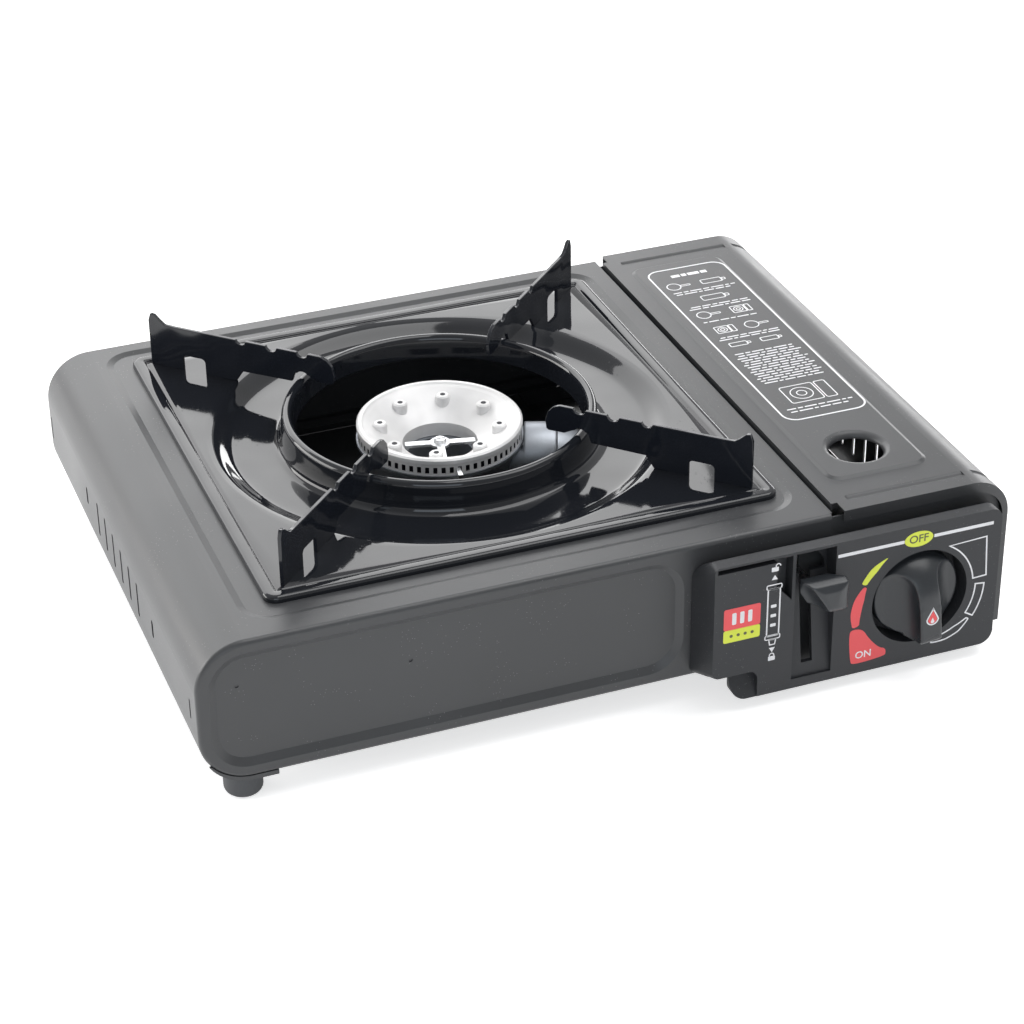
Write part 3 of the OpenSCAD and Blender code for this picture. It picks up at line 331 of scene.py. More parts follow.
casingLook = {"colour": (0.047, 0.0485, 0.0515), "rough": 0.38, "grain": 1100.0, "depth": 0.000022,
              "specks": 0.25, "roughSpread": (0.03, 0.03)}
innerLook = {"colour": (0.06, 0.062, 0.065), "rough": 0.5, "grain": 900.0, "depth": 0.00003}
panelLook = {"colour": (0.027, 0.0285, 0.032), "rough": 0.5, "ior": 1.42, "grain": 2600.0, "depth": 0.00003,
             "specks": 0.15}
knobLook = {"colour": (0.024, 0.027, 0.031), "rough": 0.31, "grain": 2200.0, "depth": 0.000014}
rubberLook = {"colour": (0.082, 0.085, 0.09), "rough": 0.75, "grain": 1500.0, "depth": 0.00006, "specks": 0.3}
leadLook = {"colour": (0.02, 0.02, 0.02), "rough": 0.6, "grain": 1800.0, "depth": 0.00005}
ivoryLook = {"colour": (0.72, 0.70, 0.62), "rough": 0.42, "grain": 1800.0, "depth": 0.00002}
ceramicLook = {"colour": (0.86, 0.85, 0.80), "rough": 0.16, "grain": 260.0, "depth": 0.00003, "lift": 1.04}
brassLook = {"colour": (0.76, 0.55, 0.24), "rough": 0.28, "metal": 1.0, "grain": 1300.0, "depth": 0.00001}
alloyLook = {"colour": (0.58, 0.58, 0.57), "rough": 0.48, "metal": 1.0, "grain": 700.0, "depth": 0.00006}
screwLook = {"colour": (0.60, 0.61, 0.62), "rough": 0.3, "metal": 1.0, "grain": 1500.0, "depth": 0.00001}

glazeLook = {"pits": 420.0, "pitEdge": 0.16, "pitDepth": 0.000012, "drift": 22.0, "driftRange": (0.3, 0.7),
             "roughSpread": (0.012, 0.03)}
enamelLook = {**glazeLook, "colour": (0.011, 0.0125, 0.016), "rough": 0.05,
              "wave": 30.0, "waveDepth": 0.00055}
supportLook = {**glazeLook, "colour": (0.010, 0.012, 0.017), "rough": 0.09,
               "wave": 60.0, "waveDepth": 0.0011}


# Glass-like enamel: slow waves that bend its reflections and small pits.
def vitreousEnamel(name, look):
    material, tree, shader, place = startMaterial(name, look)
    waves = addNoise(tree, place, look["wave"], detail=1.0, rough=0.4)
    wavy = addBump(tree, shader, waves, look["waveDepth"])
    pits = addCells(tree, place, look["pits"])["Distance"]
    addBump(tree, shader, addRange(tree, pits, 0.0, look["pitEdge"], 0.0, 1.0), look["pitDepth"], wavy)
    drift = addNoise(tree, place, look["drift"], detail=3.0, rough=0.6)
    varyRoughness(tree, shader, drift, look, *look["driftRange"])
    return material


# Painted shade: a near-black colour laid where the burner's ports and the bosses' holes are, standing in for the
# shade inside them.
holeShadeColour = (0.006, 0.006, 0.012)
castLook = {"ring": 900.0, "distortion": 0.6, "driftScale": 60.0, "dull": 0.87, "roughSpread": (0.05, 0.09)}
aluminiumLook = {**castLook, "colour": (0.77, 0.765, 0.765), "rough": 0.5, "metal": 0.25, "grain": 900.0,
                 "grainDepth": 0.00003, "ringDepth": 0.000006,
                 "ports": (0.0315, 0.0342, 0.06895, 0.07185)}  # radii and heights of the ports, whose inner shade is painted, in metres
bodyLook = {**castLook, "colour": (0.32, 0.34, 0.37), "rough": 0.5, "metal": 1.0, "grain": 800.0,
            "grainDepth": 0.00005, "ringDepth": 0.000002}


# 1 between two radii and two heights, the band where the shade inside the ports is painted, and 0 elsewhere.
def portShadeMask(tree, place, inner, outer, below, above):
    split = tree.nodes.new("ShaderNodeSeparateXYZ")
    feed(tree, split.inputs[0], place)
    x, y, height = split.outputs
    squares = addMath(tree, "ADD", addMath(tree, "MULTIPLY", x, x), addMath(tree, "MULTIPLY", y, y))
    across = addMath(tree, "SQRT", squares)
    shadeMask = addMath(tree, "GREATER_THAN", across, inner)
    for operation, value, limit in (("LESS_THAN", across, outer), ("GREATER_THAN", height, below),
                                    ("LESS_THAN", height, above)):
        shadeMask = addMath(tree, "MULTIPLY", shadeMask, addMath(tree, operation, value, limit))
    return shadeMask


# Satin casting with turned rings round the burner's axis, and painted shade in the ports where the look lists
# them.
def castMetal(name, look):
    material, tree, shader, place = startMaterial(name, look)
    centred = tree.nodes.new("ShaderNodeMapping")
    centred.inputs["Location"].default_value = (-burnerX, -burnerY, 0)
    feed(tree, centred.inputs["Vector"], place)
    rings = tree.nodes.new("ShaderNodeTexWave")
    rings.wave_type = "RINGS"
    rings.rings_direction = "Z"
    feed(tree, rings.inputs["Scale"], look["ring"])
    feed(tree, rings.inputs["Distortion"], look["distortion"])
    feed(tree, rings.inputs["Vector"], centred.outputs[0])
    turned = addBump(tree, shader, rings.outputs["Fac"], look["ringDepth"])
    grain = useGroup(tree, grainGroup, Vector=place, Scale=look["grain"], Drift_Scale=look["driftScale"])
    addBump(tree, shader, grain["Height"], look["grainDepth"], turned)
    varyRoughness(tree, shader, grain["Drift"], look)
    dull = tuple(c * look["dull"] for c in look["colour"])
    surface = mixColour(tree, grain["Drift"], look["colour"], dull)
    # Painted shade: the ports' band gets the near-black hole colour in place of the shade of real openings.
    if "ports" in look:
        shadeMask = portShadeMask(tree, centred.outputs[0], *look["ports"])
        surface = mixColour(tree, shadeMask, surface, holeShadeColour)
    feed(tree, shader.inputs["Base Color"], surface)
    return material


zincLook = {"colour": (0.62, 0.63, 0.64), "light": (0.70, 0.71, 0.73), "rough": 0.33, "metal": 1.0,
            "spangle": 180.0, "grain": 1200.0, "driftScale": 30.0, "depth": 0.000012,
            "roughSpread": (0.07, 0.09)}


# Plated sheet: faint spangle cells over a fine grain.
def zincPlate(name, look):
    material, tree, shader, place = startMaterial(name, look)
    tone = tree.nodes.new("ShaderNodeSeparateColor")
    feed(tree, tone.inputs[0], addCells(tree, place, look["spangle"])["Color"])
    varyRoughness(tree, shader, tone.outputs[0], look)
    colour = mixColour(tree, tone.outputs[1], look["colour"], look["light"])
    feed(tree, shader.inputs["Base Color"], colour)
    grain = useGroup(tree, grainGroup, Vector=place, Scale=look["grain"], Drift_Scale=look["driftScale"])
    addBump(tree, shader, grain["Height"], look["depth"])
    return material


finishes = {
    "casing_black": plainFinish("casingEnamel", casingLook),
    "inner_grey": plainFinish("innerSheet", innerLook),
    "zinc": zincPlate("zincPlate", zincLook),
    "enamel_black": vitreousEnamel("trayEnamel", enamelLook),
    "cast_aluminium": castMetal("burnerAluminium", aluminiumLook),
    "regulator_alloy": plainFinish("regulatorAlloy", alloyLook),
    "brass": plainFinish("turnedBrass", brassLook),
    "panel_plastic": plainFinish("panelPlastic", panelLook),
    "knob_plastic": plainFinish("knobPlastic", knobLook),
    "rubber": plainFinish("footRubber", rubberLook),
    "steel_screws": plainFinish("platedSteel", screwLook),
    "ceramic": plainFinish("glazedCeramic", ceramicLook),
    "igniter_plastic": plainFinish("ivoryPlastic", ivoryLook),
    "lead_black": plainFinish("leadSleeve", leadLook),
}
supportEnamel = vitreousEnamel("supportEnamel", supportLook)
bodyCasting = castMetal("bodyCasting", bodyLook)
for node in nodes.values():
    for materialSlot in node.material_slots:
        materialSlot.material = finishes[materialSlot.material.name.split(".")[0]]
for nodeName in nodes:
    if nodeName.startswith("pan_support"):
        nodes[nodeName].material_slots[0].material = supportEnamel
nodes["burner_body"].material_slots[0].material = bodyCasting
print("finishes on", len(nodes), "nodes")


mergeLook = {"gap": 0.000004, "flat": 0.4}  # metres within which points merge, degrees below which faces join


# A copy of a CAD piece with merged points, shown in its place.
def mergedCopy(name):
    source = nodes[name]
    mesh = source.data.copy()
    mesh.transform(source.matrix_world)
    work = bmesh.new()
    work.from_mesh(mesh)
    bmesh.ops.remove_doubles(work, verts=work.verts, dist=mergeLook["gap"])
    flat = math.radians(mergeLook["flat"])
    bmesh.ops.dissolve_limit(work, angle_limit=flat, verts=work.verts, edges=work.edges)
    for face in work.faces:
        face.smooth = True
    work.to_mesh(mesh)
    work.free()
    if mesh.has_custom_normals:
        mesh.attributes.remove(mesh.attributes["custom_normal"])
    first, *others = name.split("_")
    softName = first + "".join(word.capitalize() for word in others) + "Soft"
    piece = linkObject(bpy.data.objects.new(softName, mesh))
    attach(piece, bodies[name])
    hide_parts(name)
    return piece


softEdges = {  # bevel width in millimetres, angle above which an edge is rounded
    "control_panel": (0.55, 28), "lever_plate": (0.2, 30),
    "pan_support_front_right": (0.28, 35), "pan_support_rear_right": (0.28, 35),
    "pan_support_rear_left": (0.28, 35), "pan_support_front_left": (0.28, 35),
    "foot_front_left": (0.5, 40), "foot_front_right": (0.4, 40), "foot_rear_left": (0.5, 40),
    "foot_rear_right": (0.4, 40), "head_bridge": (0.25, 35), "electrode_ceramic": (0.3, 40),
}


# Rounded edges: every edge sharper than the angle gets a bevel of three steps.
def softenEdges(name, width, angle):
    soft = mergedCopy(name).modifiers.new("edges", "BEVEL")
    soft.width = width * mm
    soft.segments = 3
    soft.limit_method = "ANGLE"
    soft.angle_limit = math.radians(angle)
    soft.harden_normals = True


mouldedForms = {  # grid in millimetres, rounds of smoothing
    "ignition_knob": (0.4, 9), "lever_knob": (0.4, 16),
}


# Moulded forms: an even grid over the piece, then every point moves towards its neighbours' mean.
def mouldForm(name, grid, rounds):
    piece = mergedCopy(name)
    remesh = piece.modifiers.new("grid", "REMESH")
    remesh.mode = "VOXEL"
    remesh.voxel_size = grid * mm
    remesh.use_smooth_shade = True
    smooth = piece.modifiers.new("smooth", "SMOOTH")
    smooth.factor = 0.5
    smooth.iterations = rounds


for nodeName, edgeLook in softEdges.items():
    softenEdges(nodeName, *edgeLook)
for nodeName, formLook in mouldedForms.items():
    mouldForm(nodeName, *formLook)
print("soft edges on", len(softEdges) + len(mouldedForms), "pieces")


# Corner cutting: each edge is replaced by its quarter points, and an open line keeps both its ends.
def cutCorners(points, rounds, closed=True):
    points = np.array(points, float)
    for _ in range(rounds):
        here, ahead = (points, np.roll(points, -1, 0)) if closed else (points[:-1], points[1:])
        cut = np.stack([here * 0.75 + ahead * 0.25, here * 0.25 + ahead * 0.75], 1).reshape(-1, 2)
        points = cut if closed else np.concatenate([points[:1], cut, points[-1:]])
    return points


def addThickness(piece, thickness):
    wall = piece.modifiers.new("thickness", "SOLIDIFY")
    wall.thickness = thickness
    wall.offset = -1


# A surface of rows that close on themselves: x, y and z are arrays of rows by turns, in millimetres from
# the burner's axis and above the casing's top. With flip the faces are turned over.
def addRowSurface(name, x, y, z, material, flip=False):
    points = np.stack([burnerX + x * mm, burnerY + y * mm, caseHigh.z + z * mm], 2).reshape(-1, 3)
    rows, count = x.shape
    row, column = np.meshgrid(np.arange(rows - 1), np.arange(count), indexing="ij")
    after = (column + 1) % count
    inner, outer = row * count, (row + 1) * count
    corners = [inner + column, outer + column, outer + after, inner + after]
    if flip:
        corners = [corners[i] for i in (0, 3, 2, 1)]
    mesh = bpy.data.meshes.new(name)
    mesh.from_pydata(points.tolist(), [], np.stack(corners, 2).reshape(-1, 4).tolist())
    mesh.materials.append(material)
    mesh.shade_smooth()
    return linkObject(bpy.data.objects.new(name, mesh))


trayPan = {  # millimetres from the burner's axis and above the casing's top
    "halfX": 106.5, "halfY": 105.4, "shiftY": -0.9, "corner": 5.5, "leastCorner": 0.5, "sheet": 0.8,
    "flat": 97.0, "wellTop": 0.9, "steps": 6, "farOut": 400.0, "halvings": 36,
    "turnStep": 2.0, "nearCorner": 5.0, "cornerStep": 0.25,  # degrees, finer round each corner
    "ring": ((60.3, -0.2), (61.2, 6.6), (61.5, 8.4), (62.5, 9.6), (63.6, 9.85), (64.8, 9.6), (65.7, 8.4),
             (66.0, 6.4), (66.5, 0.5), (67.2, -2.3), (68.8, -3.7), (71.2, -4.0), (78.0, -4.05), (85.2, -4.0),
             (87.8, -3.7), (90.0, -2.4), (92.6, -0.5), (94.6, 0.5), (97.0, 0.9)),
    "edge": ((6.9, 1.0), (6.2, 0.7), (5.6, 0.65), (5.0, 1.5), (4.3, 1.7), (2.2, 1.8), (1.1, 1.7),
             (0.35, 1.2), (0.0, 0.4), (0.0, -0.85)),  # distance inwards from the outline, and height
}


# Distance from the axis to a rounded rectangle along each angle: the step at which the ray leaves it is
# halved in on, a point being inside while its distance from the inner rectangle is under the corner radius.
def outlineReach(turn, inwards):
    look = trayPan
    corner = max(look["corner"] - inwards, look["leastCorner"])
    flatX = look["halfX"] - inwards - corner
    flatY = look["halfY"] - inwards - corner
    low, high = np.zeros(len(turn)), np.full(len(turn), look["farOut"])
    for _ in range(look["halvings"]):
        middle = (low + high) / 2
        overX = np.maximum(abs(middle * np.cos(turn)) - flatX, 0)
        overY = np.maximum(abs(middle * np.sin(turn) - look["shiftY"]) - flatY, 0)
        outside = np.hypot(overX, overY) > corner
        low, high = np.where(outside, low, middle), np.where(outside, middle, high)
    return low


# A surface from the ring's inside outwards: rings of constant radius up to the flat, then a mix of the
# circle and the outline, then the rolled edge at its distance from the outline.
def addTrayPan():
    look = trayPan
    near = np.arange(-look["nearCorner"], look["nearCorner"] + 0.01, look["cornerStep"])
    angles = [np.arange(0, 360, look["turnStep"])] + [corner + near for corner in (45, 135, 225, 315)]
    turn = np.radians(np.unique(np.round(np.concatenate(angles), 3)))
    ring = cutCorners(look["ring"], 2, closed=False)
    edge = cutCorners(look["edge"], 2, closed=False)
    start = outlineReach(turn, edge[0, 0])
    mix = np.linspace(0, 1, look["steps"] + 1)[1:-1]
    radius = np.array([np.full(len(turn), r) for r in ring[:, 0]]
                      + [look["flat"] + (start - look["flat"]) * t for t in mix]
                      + [outlineReach(turn, inwards) for inwards in edge[:, 0]])
    height = np.concatenate([ring[:, 1], look["wellTop"] + (edge[0, 1] - look["wellTop"]) * mix, edge[:, 1]])
    x, y = radius * np.cos(turn), radius * np.sin(turn)
    z = np.repeat(height[:, None], len(turn), 1)
    piece = addRowSurface("trayPan", x, y, z, finishes["enamel_black"])
    addThickness(piece, look["sheet"] * mm)
    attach(piece, "tray")
    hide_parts("drip_tray")


addTrayPan()
print("tray ready")


mixingSleeve = {  # millimetres along the tube's axis and from it, degrees for the way it points
    "way": -22.0, "axisHeight": -14.0, "wall": 1.0, "count": 72,
    "flange": 35.2, "under": 7.2,  # radius of the burner's flange, and how high the tube reaches below it
    "profile": ((26.0, 11.8), (30.0, 12.6), (34.9, 13.2), (35.25, 13.3), (36.2, 13.5), (47.6, 13.5),
                (48.6, 13.2), (49.4, 12.6), (49.6, 11.0)),
}


# A tube's outside along its axis: radius times cosine and sine of the turn, its height held under the
# flange as long as the distance is inside the flange's radius.
def addMixingSleeve():
    look = mixingSleeve
    profile = np.array(look["profile"])
    turn = np.linspace(0, 2 * np.pi, look["count"], endpoint=False)
    along = np.repeat(profile[:, :1], len(turn), 1)
    side = profile[:, 1:] * np.cos(turn)
    high = profile[:, 1:] * np.sin(turn)
    high = np.where(along < look["flange"], np.minimum(high, look["under"]), high)
    cosine, sine = math.cos(math.radians(look["way"])), math.sin(math.radians(look["way"]))
    x = along * cosine - side * sine
    y = along * sine + side * cosine
    piece = addRowSurface("mixingSleeve", x, y, look["axisHeight"] + high, bodyCasting, flip=True)
    addThickness(piece, look["wall"] * mm)
    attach(piece, "stove")


addMixingSleeve()
print("mixing sleeve ready")


inkLook = {"grain": 2400.0, "depth": 0.00001}
inkLooks = {  # colour, roughness and lift
    "whiteInk": ((0.86, 0.86, 0.88), 0.5, 1.03), "yellowInk": ((0.74, 0.82, 0.08), 0.48, 1.06),
    # The hole ink is painted shade: near-black standing in for the inside of holes.
    "redInk": ((0.84, 0.10, 0.11), 0.48, 1.08), "holeInk": (holeShadeColour, 0.6, 1.1),
    "darkInk": ((0.10, 0.11, 0.05), 0.5, 1.1),
}
inks = {name: plainFinish(name, {**inkLook, "colour": colour, "rough": rough, "lift": lift})
        for name, (colour, rough, lift) in inkLooks.items()}


# A closed outline: cosine and sine of the turn, times the two radii.
def ellipse(cx, cz, rx, rz, count=64):
    turn = np.linspace(0, 2 * np.pi, count, endpoint=False)
    return np.stack([cx + rx * np.cos(turn), cz + rz * np.sin(turn)], 1)


# A closed outline of four quarter turns of radius r about the box's inner corners.
def roundedBox(x0, z0, x1, z1, r, count=4):
    turn = np.linspace(0, np.pi / 2, count)
    corners = ((x1 - r, z1 - r, 0), (x0 + r, z1 - r, 1), (x0 + r, z0 + r, 2), (x1 - r, z0 + r, 3))
    return np.concatenate([np.stack([cx + r * np.cos(turn + q * np.pi / 2),
                                     cz + r * np.sin(turn + q * np.pi / 2)], 1) for cx, cz, q in corners])


# Points about the knob's axis, in millimetres from it: radius times cosine and sine of the angle in degrees.
def polar(angles, radii):
    turn = np.radians(angles)
    return np.stack([radii * np.cos(turn), radii * np.sin(turn)], 1)


def arc(a0, a1, radius, count):
    return polar(np.linspace(a0, a1, count), np.full(count, radius))


# A closed outline from angle a0 to a1, between two radii that follow their lists in straight steps.
def crescent(a0, a1, inner, outer, count=12):
    t = np.linspace(0, 1, count)
    angles = a0 + (a1 - a0) * t
    inside = np.interp(t, np.linspace(0, 1, len(inner)), inner)
    outside = np.interp(t, np.linspace(0, 1, len(outer)), outer)
    return np.concatenate([polar(angles, outside), polar(angles[::-1], inside[::-1])])


# A band along a path: each point moved half the width to both sides along the normal, further on a corner.
def ribbon(path, width, closed=True):
    ahead = np.roll(path, -1, 0) - path
    back = path - np.roll(path, 1, 0)
    if not closed:
        ahead[-1], back[0] = back[-1], ahead[0]
    ahead = ahead / np.linalg.norm(ahead, axis=1, keepdims=True)
    back = back / np.linalg.norm(back, axis=1, keepdims=True)
    along = ahead + back
    along /= np.linalg.norm(along, axis=1, keepdims=True)
    mitre = 1 / np.clip((along * ahead).sum(1, keepdims=True), 0.5, 1)
    normal = np.stack([-along[:, 1], along[:, 0]], 1) * mitre * width / 2
    n = len(path)
    i = np.arange(n if closed else n - 1)
    j = (i + 1) % n
    return np.concatenate([path + normal, path - normal]), np.stack([i, j, j + n, i + n], 1).tolist()


# A filled outline: one face over all its points.
def plate(outline):
    return np.array(outline), [list(range(len(outline)))]


letterWeight = 0.012  # how far letters are thickened, as a share of their size


# Upright letters whose middle is at cx, cz.
def lettering(text, size, cx, cz):
    curve = bpy.data.curves.new("letters", "FONT")
    curve.body = text
    curve.size = size
    curve.align_x = "CENTER"
    curve.align_y = "CENTER"
    curve.offset = size * letterWeight
    holder = bpy.data.objects.new("letters", curve)
    mesh = bpy.data.meshes.new_from_object(holder)
    points = np.zeros(len(mesh.vertices) * 3)
    mesh.vertices.foreach_get("co", points)
    faces = [list(p.vertices) for p in mesh.polygons]
    bpy.data.objects.remove(holder)
    return points.reshape(-1, 3)[:, :2] + (cx, cz), faces


bossMarks = {"ring": 25.0, "hole": 1.15, "count": 8, "top": 0.8}  # millimetres, the top above the casing's


# The panel's face: u millimetres right of the knob's axis and v above it.
def layOnPanel(u, v, proud):
    return np.stack([knobAxis.x + u * mm, np.full(len(u), panelFace - proud), knobAxis.z + v * mm], 1)


# The grip's front, measured like the panel.
def layOnGrip(u, v, proud):
    return np.stack([knobAxis.x + u * mm, np.full(len(u), gripFace - proud), knobAxis.z + v * mm], 1)


# The cover: u millimetres right of the casing's left side and v behind the cover's front edge.
def layOnCover(u, v, proud):
    return np.stack([caseLow.x + u * mm, coverLow.y + v * mm, np.full(len(u), coverHigh.z + proud)], 1)


# The bosses' flat tops: u millimetres right of the burner's axis and v behind it.
def layOnBosses(u, v, proud):
    top = caseHigh.z + bossMarks["top"] * mm + proud
    return np.stack([burnerX + u * mm, burnerY + v * mm, np.full(len(u), top)], 1)


printedFaces = {  # how points are laid, which way the face looks, its body and its slot
    "panel": (layOnPanel, (0, -1, 0), "stove", "panel_plastic"),
    "grip": (layOnGrip, (0, -1, 0), "knob", "knob_plastic"),
    "cover": (layOnCover, (0, 0, 1), "cover", "casing_black"),
    "bosses": (layOnBosses, (0, 0, 1), "stove", "cast_aluminium"),
}
printLook = {"proud": 0.00006, "second": 0.00011, "thick": 0.00009}  # metres; second is a print on a print


# Flat shapes laid on a face, with their thickness sunk into it.
def addPrint(name, shapes, faceName, ink, proud=printLook["proud"]):
    lay, outward, body, slotName = printedFaces[faceName]
    uv = np.concatenate([points for points, _ in shapes])
    starts = np.cumsum([0] + [len(points) for points, _ in shapes]).tolist()
    faces = [[i + start for i in cell] for (_, cells), start in zip(shapes, starts) for cell in cells]
    mesh = bpy.data.meshes.new(name)
    mesh.from_pydata(lay(uv[:, 0], uv[:, 1], proud).tolist(), [], faces)
    mesh.validate()
    mesh.materials.append(inks[ink])
    for face in mesh.polygons:
        if face.normal.dot(Vector(outward)) < 0:
            face.flip()
    piece = linkObject(bpy.data.objects.new(name, mesh))
    addThickness(piece, printLook["thick"])
    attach(piece, body)


def addBossMarks():
    look = bossMarks
    turns = [math.radians((i + 0.5) * 360 / look["count"]) for i in range(look["count"])]
    middles = [(look["ring"] * math.cos(t), look["ring"] * math.sin(t)) for t in turns]
    # The holes are painted as near-black discs on the bosses: painted shade in place of cut holes.
    holeShades = [plate(ellipse(*middle, look["hole"], look["hole"], 20)) for middle in middles]
    addPrint("bossHoles", holeShades, "bosses", "holeInk")


dialMarks = {  # millimetres and degrees about the knob's axis; x first, then height
    "bar": (-37.6, 31.2, 27.35, 1.45), "barGap": (-8.6, 4.6), "barCorner": 0.1, "line": 0.62,
    "upper": (60, 7, 24.0, 14), "upperEnds": ((29.8, 3.2), (28.6, 21.6)),
    "middle": ((0, -31, 25.2, 10), (-31, -1, 29.2, 10)),
    "lower": (-35, -74, (27.2, 25.0, 23.9, 24.4), (28.4, 28.6, 27.2, 24.9), 24),
    "off": (-2.2, 27.4, 6.3, 3.5), "offText": (4.9, -2.2, 27.4), "onText": (4.6, -23.9, -21.9),
    "yellow": (126, 156, (26.4, 25.6, 26.6), (26.7, 28.7, 29.0)),
    "red": (158, 196, (25.9, 25.2, 26.0, 27.6), (27.4, 29.7, 30.7, 30.6)),
    "on": ((-30.9, -10.2), (-29.2, -8.9), (-24.7, -9.7), (-21.8, -14.8), (-17.0, -20.3), (-14.2, -21.2),
           (-13.6, -23.4), (-14.2, -25.0), (-28.4, -26.0), (-29.7, -24.2)),
}


def addDialMarks():
    look = dialMarks
    left, right, z, w = look["bar"]
    gapLeft, gapRight = look["barGap"]
    bars = [plate(roundedBox(x0, z - w / 2, x1, z + w / 2, look["barCorner"], 2))
            for x0, x1 in ((left, gapLeft), (gapRight, right))]
    upper = np.concatenate([arc(*look["upper"]), look["upperEnds"]])
    middle = np.concatenate([arc(*part) for part in look["middle"]])
    lower = cutCorners(crescent(*look["lower"]), 1)
    fields = [ribbon(path, look["line"]) for path in (upper, middle, lower)]
    addPrint("dialLines", bars + fields, "panel", "whiteInk")
    yellow = cutCorners(crescent(*look["yellow"]), 2)
    addPrint("offField", [plate(ellipse(*look["off"])), plate(yellow)], "panel", "yellowInk")
    red = cutCorners(crescent(*look["red"]), 2)
    addPrint("onField", [plate(red), plate(cutCorners(look["on"], 3))], "panel", "redInk")
    addPrint("onLetters", [lettering("ON", *look["onText"])], "panel", "whiteInk", printLook["second"])
    addPrint("offLetters", [lettering("OFF", *look["offText"])], "panel", "darkInk", printLook["second"])


padlockLook = {"body": (1.5, -1.3, 0.7, 0.3), "shackle": (0.95, 1.1, 12), "foot": 0.5, "openFoot": 1.0,
               "aside": 1.3, "line": 0.45}


# A plain padlock: a solid body and a half-turn shackle, swung aside when open.
def padlock(cx, cz, opened):
    look = padlockLook
    wide, low, high, corner = look["body"]
    radius, rise, count = look["shackle"]
    middle = cx + (look["aside"] if opened else 0.0)
    turn = np.linspace(np.pi, 0, count)
    bow = np.stack([middle + radius * np.cos(turn), cz + rise + radius * np.sin(turn)], 1)
    leftEnd = [[middle - radius, cz + look["foot"]]]
    rightEnd = [[middle + radius, cz + look["openFoot" if opened else "foot"]]]
    return [plate(roundedBox(cx - wide, cz + low, cx + wide, cz + high, corner, 3)),
            ribbon(np.concatenate([leftEnd, bow, rightEnd]), look["line"], closed=False)]


lockMarks = {  # millimetres from the knob's axis; boxes are left, low, right, high and corner
    "middle": -64.8, "line": 0.6, "thinLine": 0.48, "can": (-67.4, -2.8, -62.2, 19.0, 0.7),
    "caps": ((-68.0, 19.0, -61.6, 20.9, 0.5), (-68.0, -4.4, -61.6, -2.5, 0.5)),
    "neck": ((-1.5, -4.6), (-1.1, -7.0), (1.1, -7.0), (1.5, -4.6)),
    "arrows": ((1.3, 23.2, 25.4), (1.3, -8.4, -10.6)),  # half width, base and tip
    "bar": (1.2, 0.7, 0.3), "bars": (2.2, 6.6, 11.0), "padlocks": ((28.2, True), (-13.2, False)),
}


def addLockMarks():
    look = lockMarks
    cx = look["middle"]
    can = ribbon(roundedBox(*look["can"]), look["line"])
    caps = [ribbon(roundedBox(*box, 3), look["thinLine"]) for box in look["caps"]]
    neck = ribbon(np.array(look["neck"]) + (cx, 0), look["thinLine"])
    arrows = [plate([(cx - half, base), (cx + half, base), (cx, tip)]) for half, base, tip in look["arrows"]]
    wide, high, corner = look["bar"]
    bars = [plate(roundedBox(cx - wide, z - high, cx + wide, z + high, corner, 3)) for z in look["bars"]]
    locks = [shape for z, opened in look["padlocks"] for shape in padlock(cx, z, opened)]
    addPrint("lockMarks", [can, *caps, neck, *arrows, *bars, *locks], "panel", "whiteInk")


sideField = {  # millimetres from the knob's axis
    "middle": -78.25, "red": (-86.1, 4.2, -70.4, 14.0, 0.8), "yellow": (-86.1, -1.6, -70.4, 4.15, 0.8),
    "stripe": (0.9, 6.4, 11.8, 0.4), "stripes": (-3.4, 0, 3.4),  # half width, low, high and corner
    "dot": (1.3, 0.7), "dots": (-4.5, -1.5, 1.5, 4.5),  # height and radius
}


def addSideField():
    look = sideField
    cx = look["middle"]
    addPrint("sideFieldRed", [plate(roundedBox(*look["red"]))], "panel", "redInk")
    addPrint("sideFieldYellow", [plate(roundedBox(*look["yellow"]))], "panel", "yellowInk")
    wide, low, high, corner = look["stripe"]
    stripes = [plate(roundedBox(cx + d - wide, low, cx + d + wide, high, corner, 3)) for d in look["stripes"]]
    addPrint("sideFieldBars", stripes, "panel", "whiteInk", printLook["second"])
    z, radius = look["dot"]
    dots = [plate(ellipse(cx + d, z, radius, radius, 20)) for d in look["dots"]]
    addPrint("sideFieldDots", dots, "panel", "darkInk", printLook["second"])


# Plain outlines seen from above, in millimetres at scale 1: a pan with its handle, a cartridge on its side,
# and a stove with its tray, rings and cover. A line's width keeps its size at every scale.
outlineSigns = {  # rings are x, y, radius, points and line; boxes are x0, y0, x1, y1, corner and line
    "pan": {"rings": ((0, 0, 3.2, 32, 0.5),), "boxes": ((3.4, -0.6, 8.0, 0.6, 0.5, 0.45),)},
    "cartridge": {"rings": (), "boxes": ((-6, -2.2, 5, 2.2, 0.8, 0.5), (5.4, -1.0, 7.2, 1.0, 0.4, 0.45))},
    "stove": {"rings": ((-1.8, 0, 3.4, 32, 0.45), (-1.8, 0, 1.5, 24, 0.45)),
              "boxes": ((-7, -5, 3.4, 5, 0.8, 0.5), (4.2, -5, 7.6, 5, 0.6, 0.5))},
}


def outlineSign(kind, cx, cy, s):
    sign = outlineSigns[kind]
    rings = [ribbon(ellipse(cx + x * s, cy + y * s, radius * s, radius * s, count), line)
             for x, y, radius, count, line in sign["rings"]]
    boxes = [ribbon(roundedBox(cx + x0 * s, cy + y0 * s, cx + x1 * s, cy + y1 * s, corner * s), line)
             for x0, y0, x1, y1, corner, line in sign["boxes"]]
    return rings + boxes


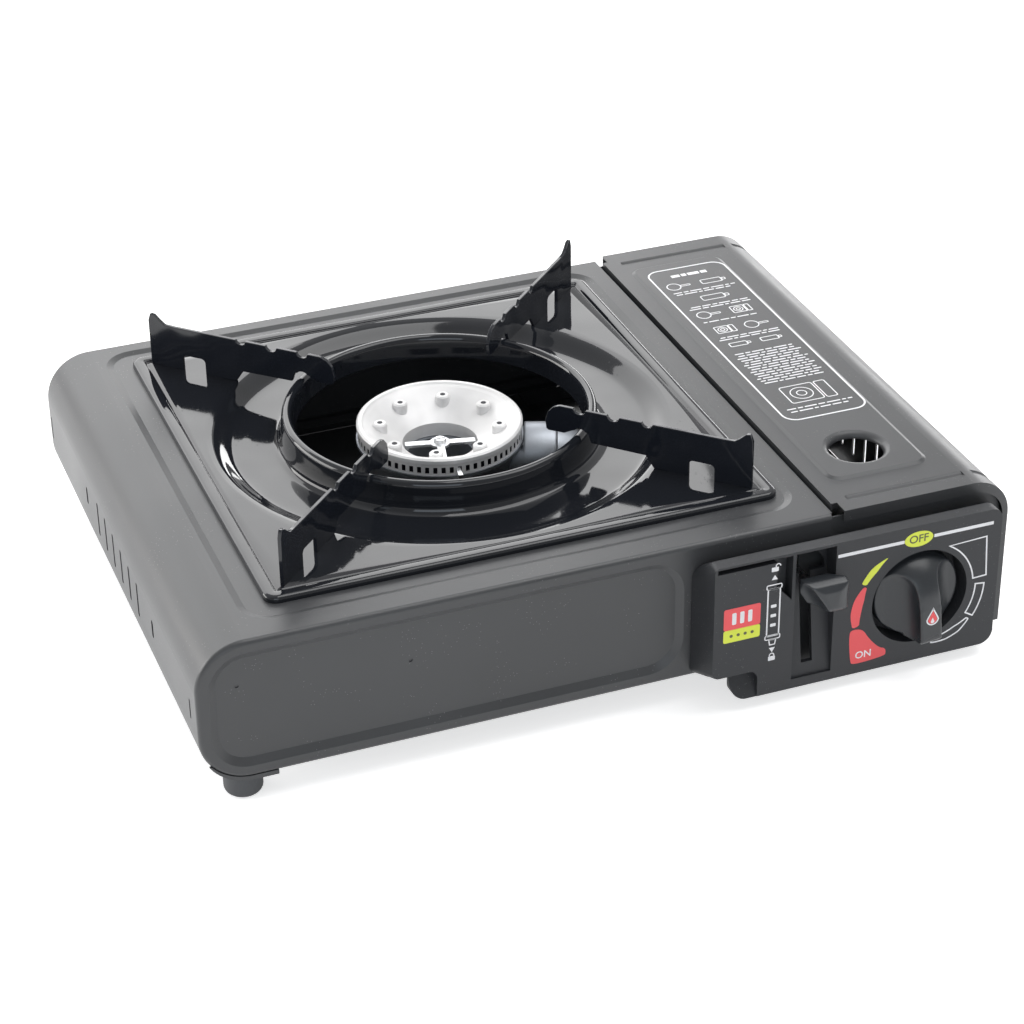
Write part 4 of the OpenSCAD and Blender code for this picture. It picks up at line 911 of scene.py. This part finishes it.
coverMarks = {  # millimetres right of the casing's left side and behind the cover's front edge
    "frame": (275.7, 72.3, 313.7, 223.6, 6.0, 8), "line": 0.8,
    "heading": (-9, 10, 216, 2.4), "inset": (4, 3.5), "rowHeight": 0.75,
    "dashes": (4.2, 2.4, 5.6, 3.1, 6.3, 1.9, 4.8), "gap": 0.8, "shortest": 1.2, "indent": 0.7, "ragged": 1.1,
    "signs": (("pan", -12, 206, 1.0), ("cartridge", 7, 206, 0.9), ("cartridge", 1, 190.5, 1.0),
              ("pan", -11, 175, 1.0), ("stove", 7, 175, 0.62), ("stove", -8, 159, 0.62), ("pan", 5, 159, 1.0),
              ("cartridge", -8, 144, 0.75), ("cartridge", 7, 144, 0.75), ("stove", 0, 93, 1.45)),
    "rows": (199.5, 197.5, 183.5, 181.5, 168, 151.5, 149.5), "block": (135, 106, -2.2),
    "lastRows": (81.5, 79.0),
}


# Rows of short dashes: their lengths come in turn from the list, each row starting further along it.
def dashRows(x0, x1, ys, height):
    look = coverMarks
    lengths = look["dashes"]
    dashes = []
    for row, y in enumerate(ys):
        x, k = x0 + look["indent"] * (row % 3), row * 3
        end = x1 - look["ragged"] * ((row * 2) % 3)
        while x < end - look["shortest"]:
            wide = min(lengths[k % len(lengths)], end - x)
            dashes.append(plate(roundedBox(x, y - height / 2, x + wide, y + height / 2, 0.2, 2)))
            x, k = x + wide + look["gap"], k + 1
    return dashes


def addCoverMarks():
    look = coverMarks
    x0, x1 = look["frame"][0], look["frame"][2]
    cx = (x0 + x1) / 2
    left, right, y, height = look["heading"]
    shapes = [ribbon(roundedBox(*look["frame"]), look["line"])]
    shapes += dashRows(cx + left, cx + right, [y], height)
    for kind, aside, behind, scale in look["signs"]:
        shapes += outlineSign(kind, cx + aside, behind, scale)
    rows = [*look["rows"], *np.arange(*look["block"]), *look["lastRows"]]
    shapes += dashRows(x0 + look["inset"][0], x1 - look["inset"][1], rows, look["rowHeight"])
    addPrint("coverFrame", shapes, "cover", "whiteInk")


flameMark = {  # millimetres from the knob's axis
    "x": 0.9, "z": -5.2, "wide": 2.5, "high": 7.6, "line": 0.6, "innerZ": -6.1,
    "field": 0.8, "innerWide": 0.32, "innerHigh": 0.36,  # shares of the outer drop's size
    "below": 0.32, "above": 0.68, "taper": 0.8, "count": 40,  # the drop's own form
    "proud": 0.00003, "lineProud": 0.00005,  # metres
}


# A drop outline: width times sine and height times cosine of the turn, the upper half narrowed by a power
# of 1 minus the cosine so that it ends in a point, and each half with its own share of the height.
def drop(cz, wide, high):
    look = flameMark
    turn = np.linspace(0, 2 * np.pi, look["count"], endpoint=False)
    up = np.cos(turn)
    narrow = np.where(up > 0, (1 - up) ** look["taper"], 1.0)
    rise = look["below"] * np.minimum(up, 0) + look["above"] * np.maximum(up, 0)
    return np.stack([look["x"] + wide * np.sin(turn) * narrow, cz + high * rise], 1)


def addFlameMark():
    look = flameMark
    wide, high, share = look["wide"], look["high"], look["field"]
    field = plate(drop(look["z"], wide * share, high * share))
    addPrint("flameField", [field], "grip", "redInk", look["proud"])
    outer = ribbon(drop(look["z"], wide, high), look["line"])
    inner = plate(drop(look["innerZ"], wide * look["innerWide"], high * look["innerHigh"]))
    addPrint("flameLine", [outer, inner], "grip", "whiteInk", look["lineProud"])


addBossMarks()
addDialMarks()
addLockMarks()
addSideField()
addCoverMarks()
addFlameMark()
print("printed marks ready")
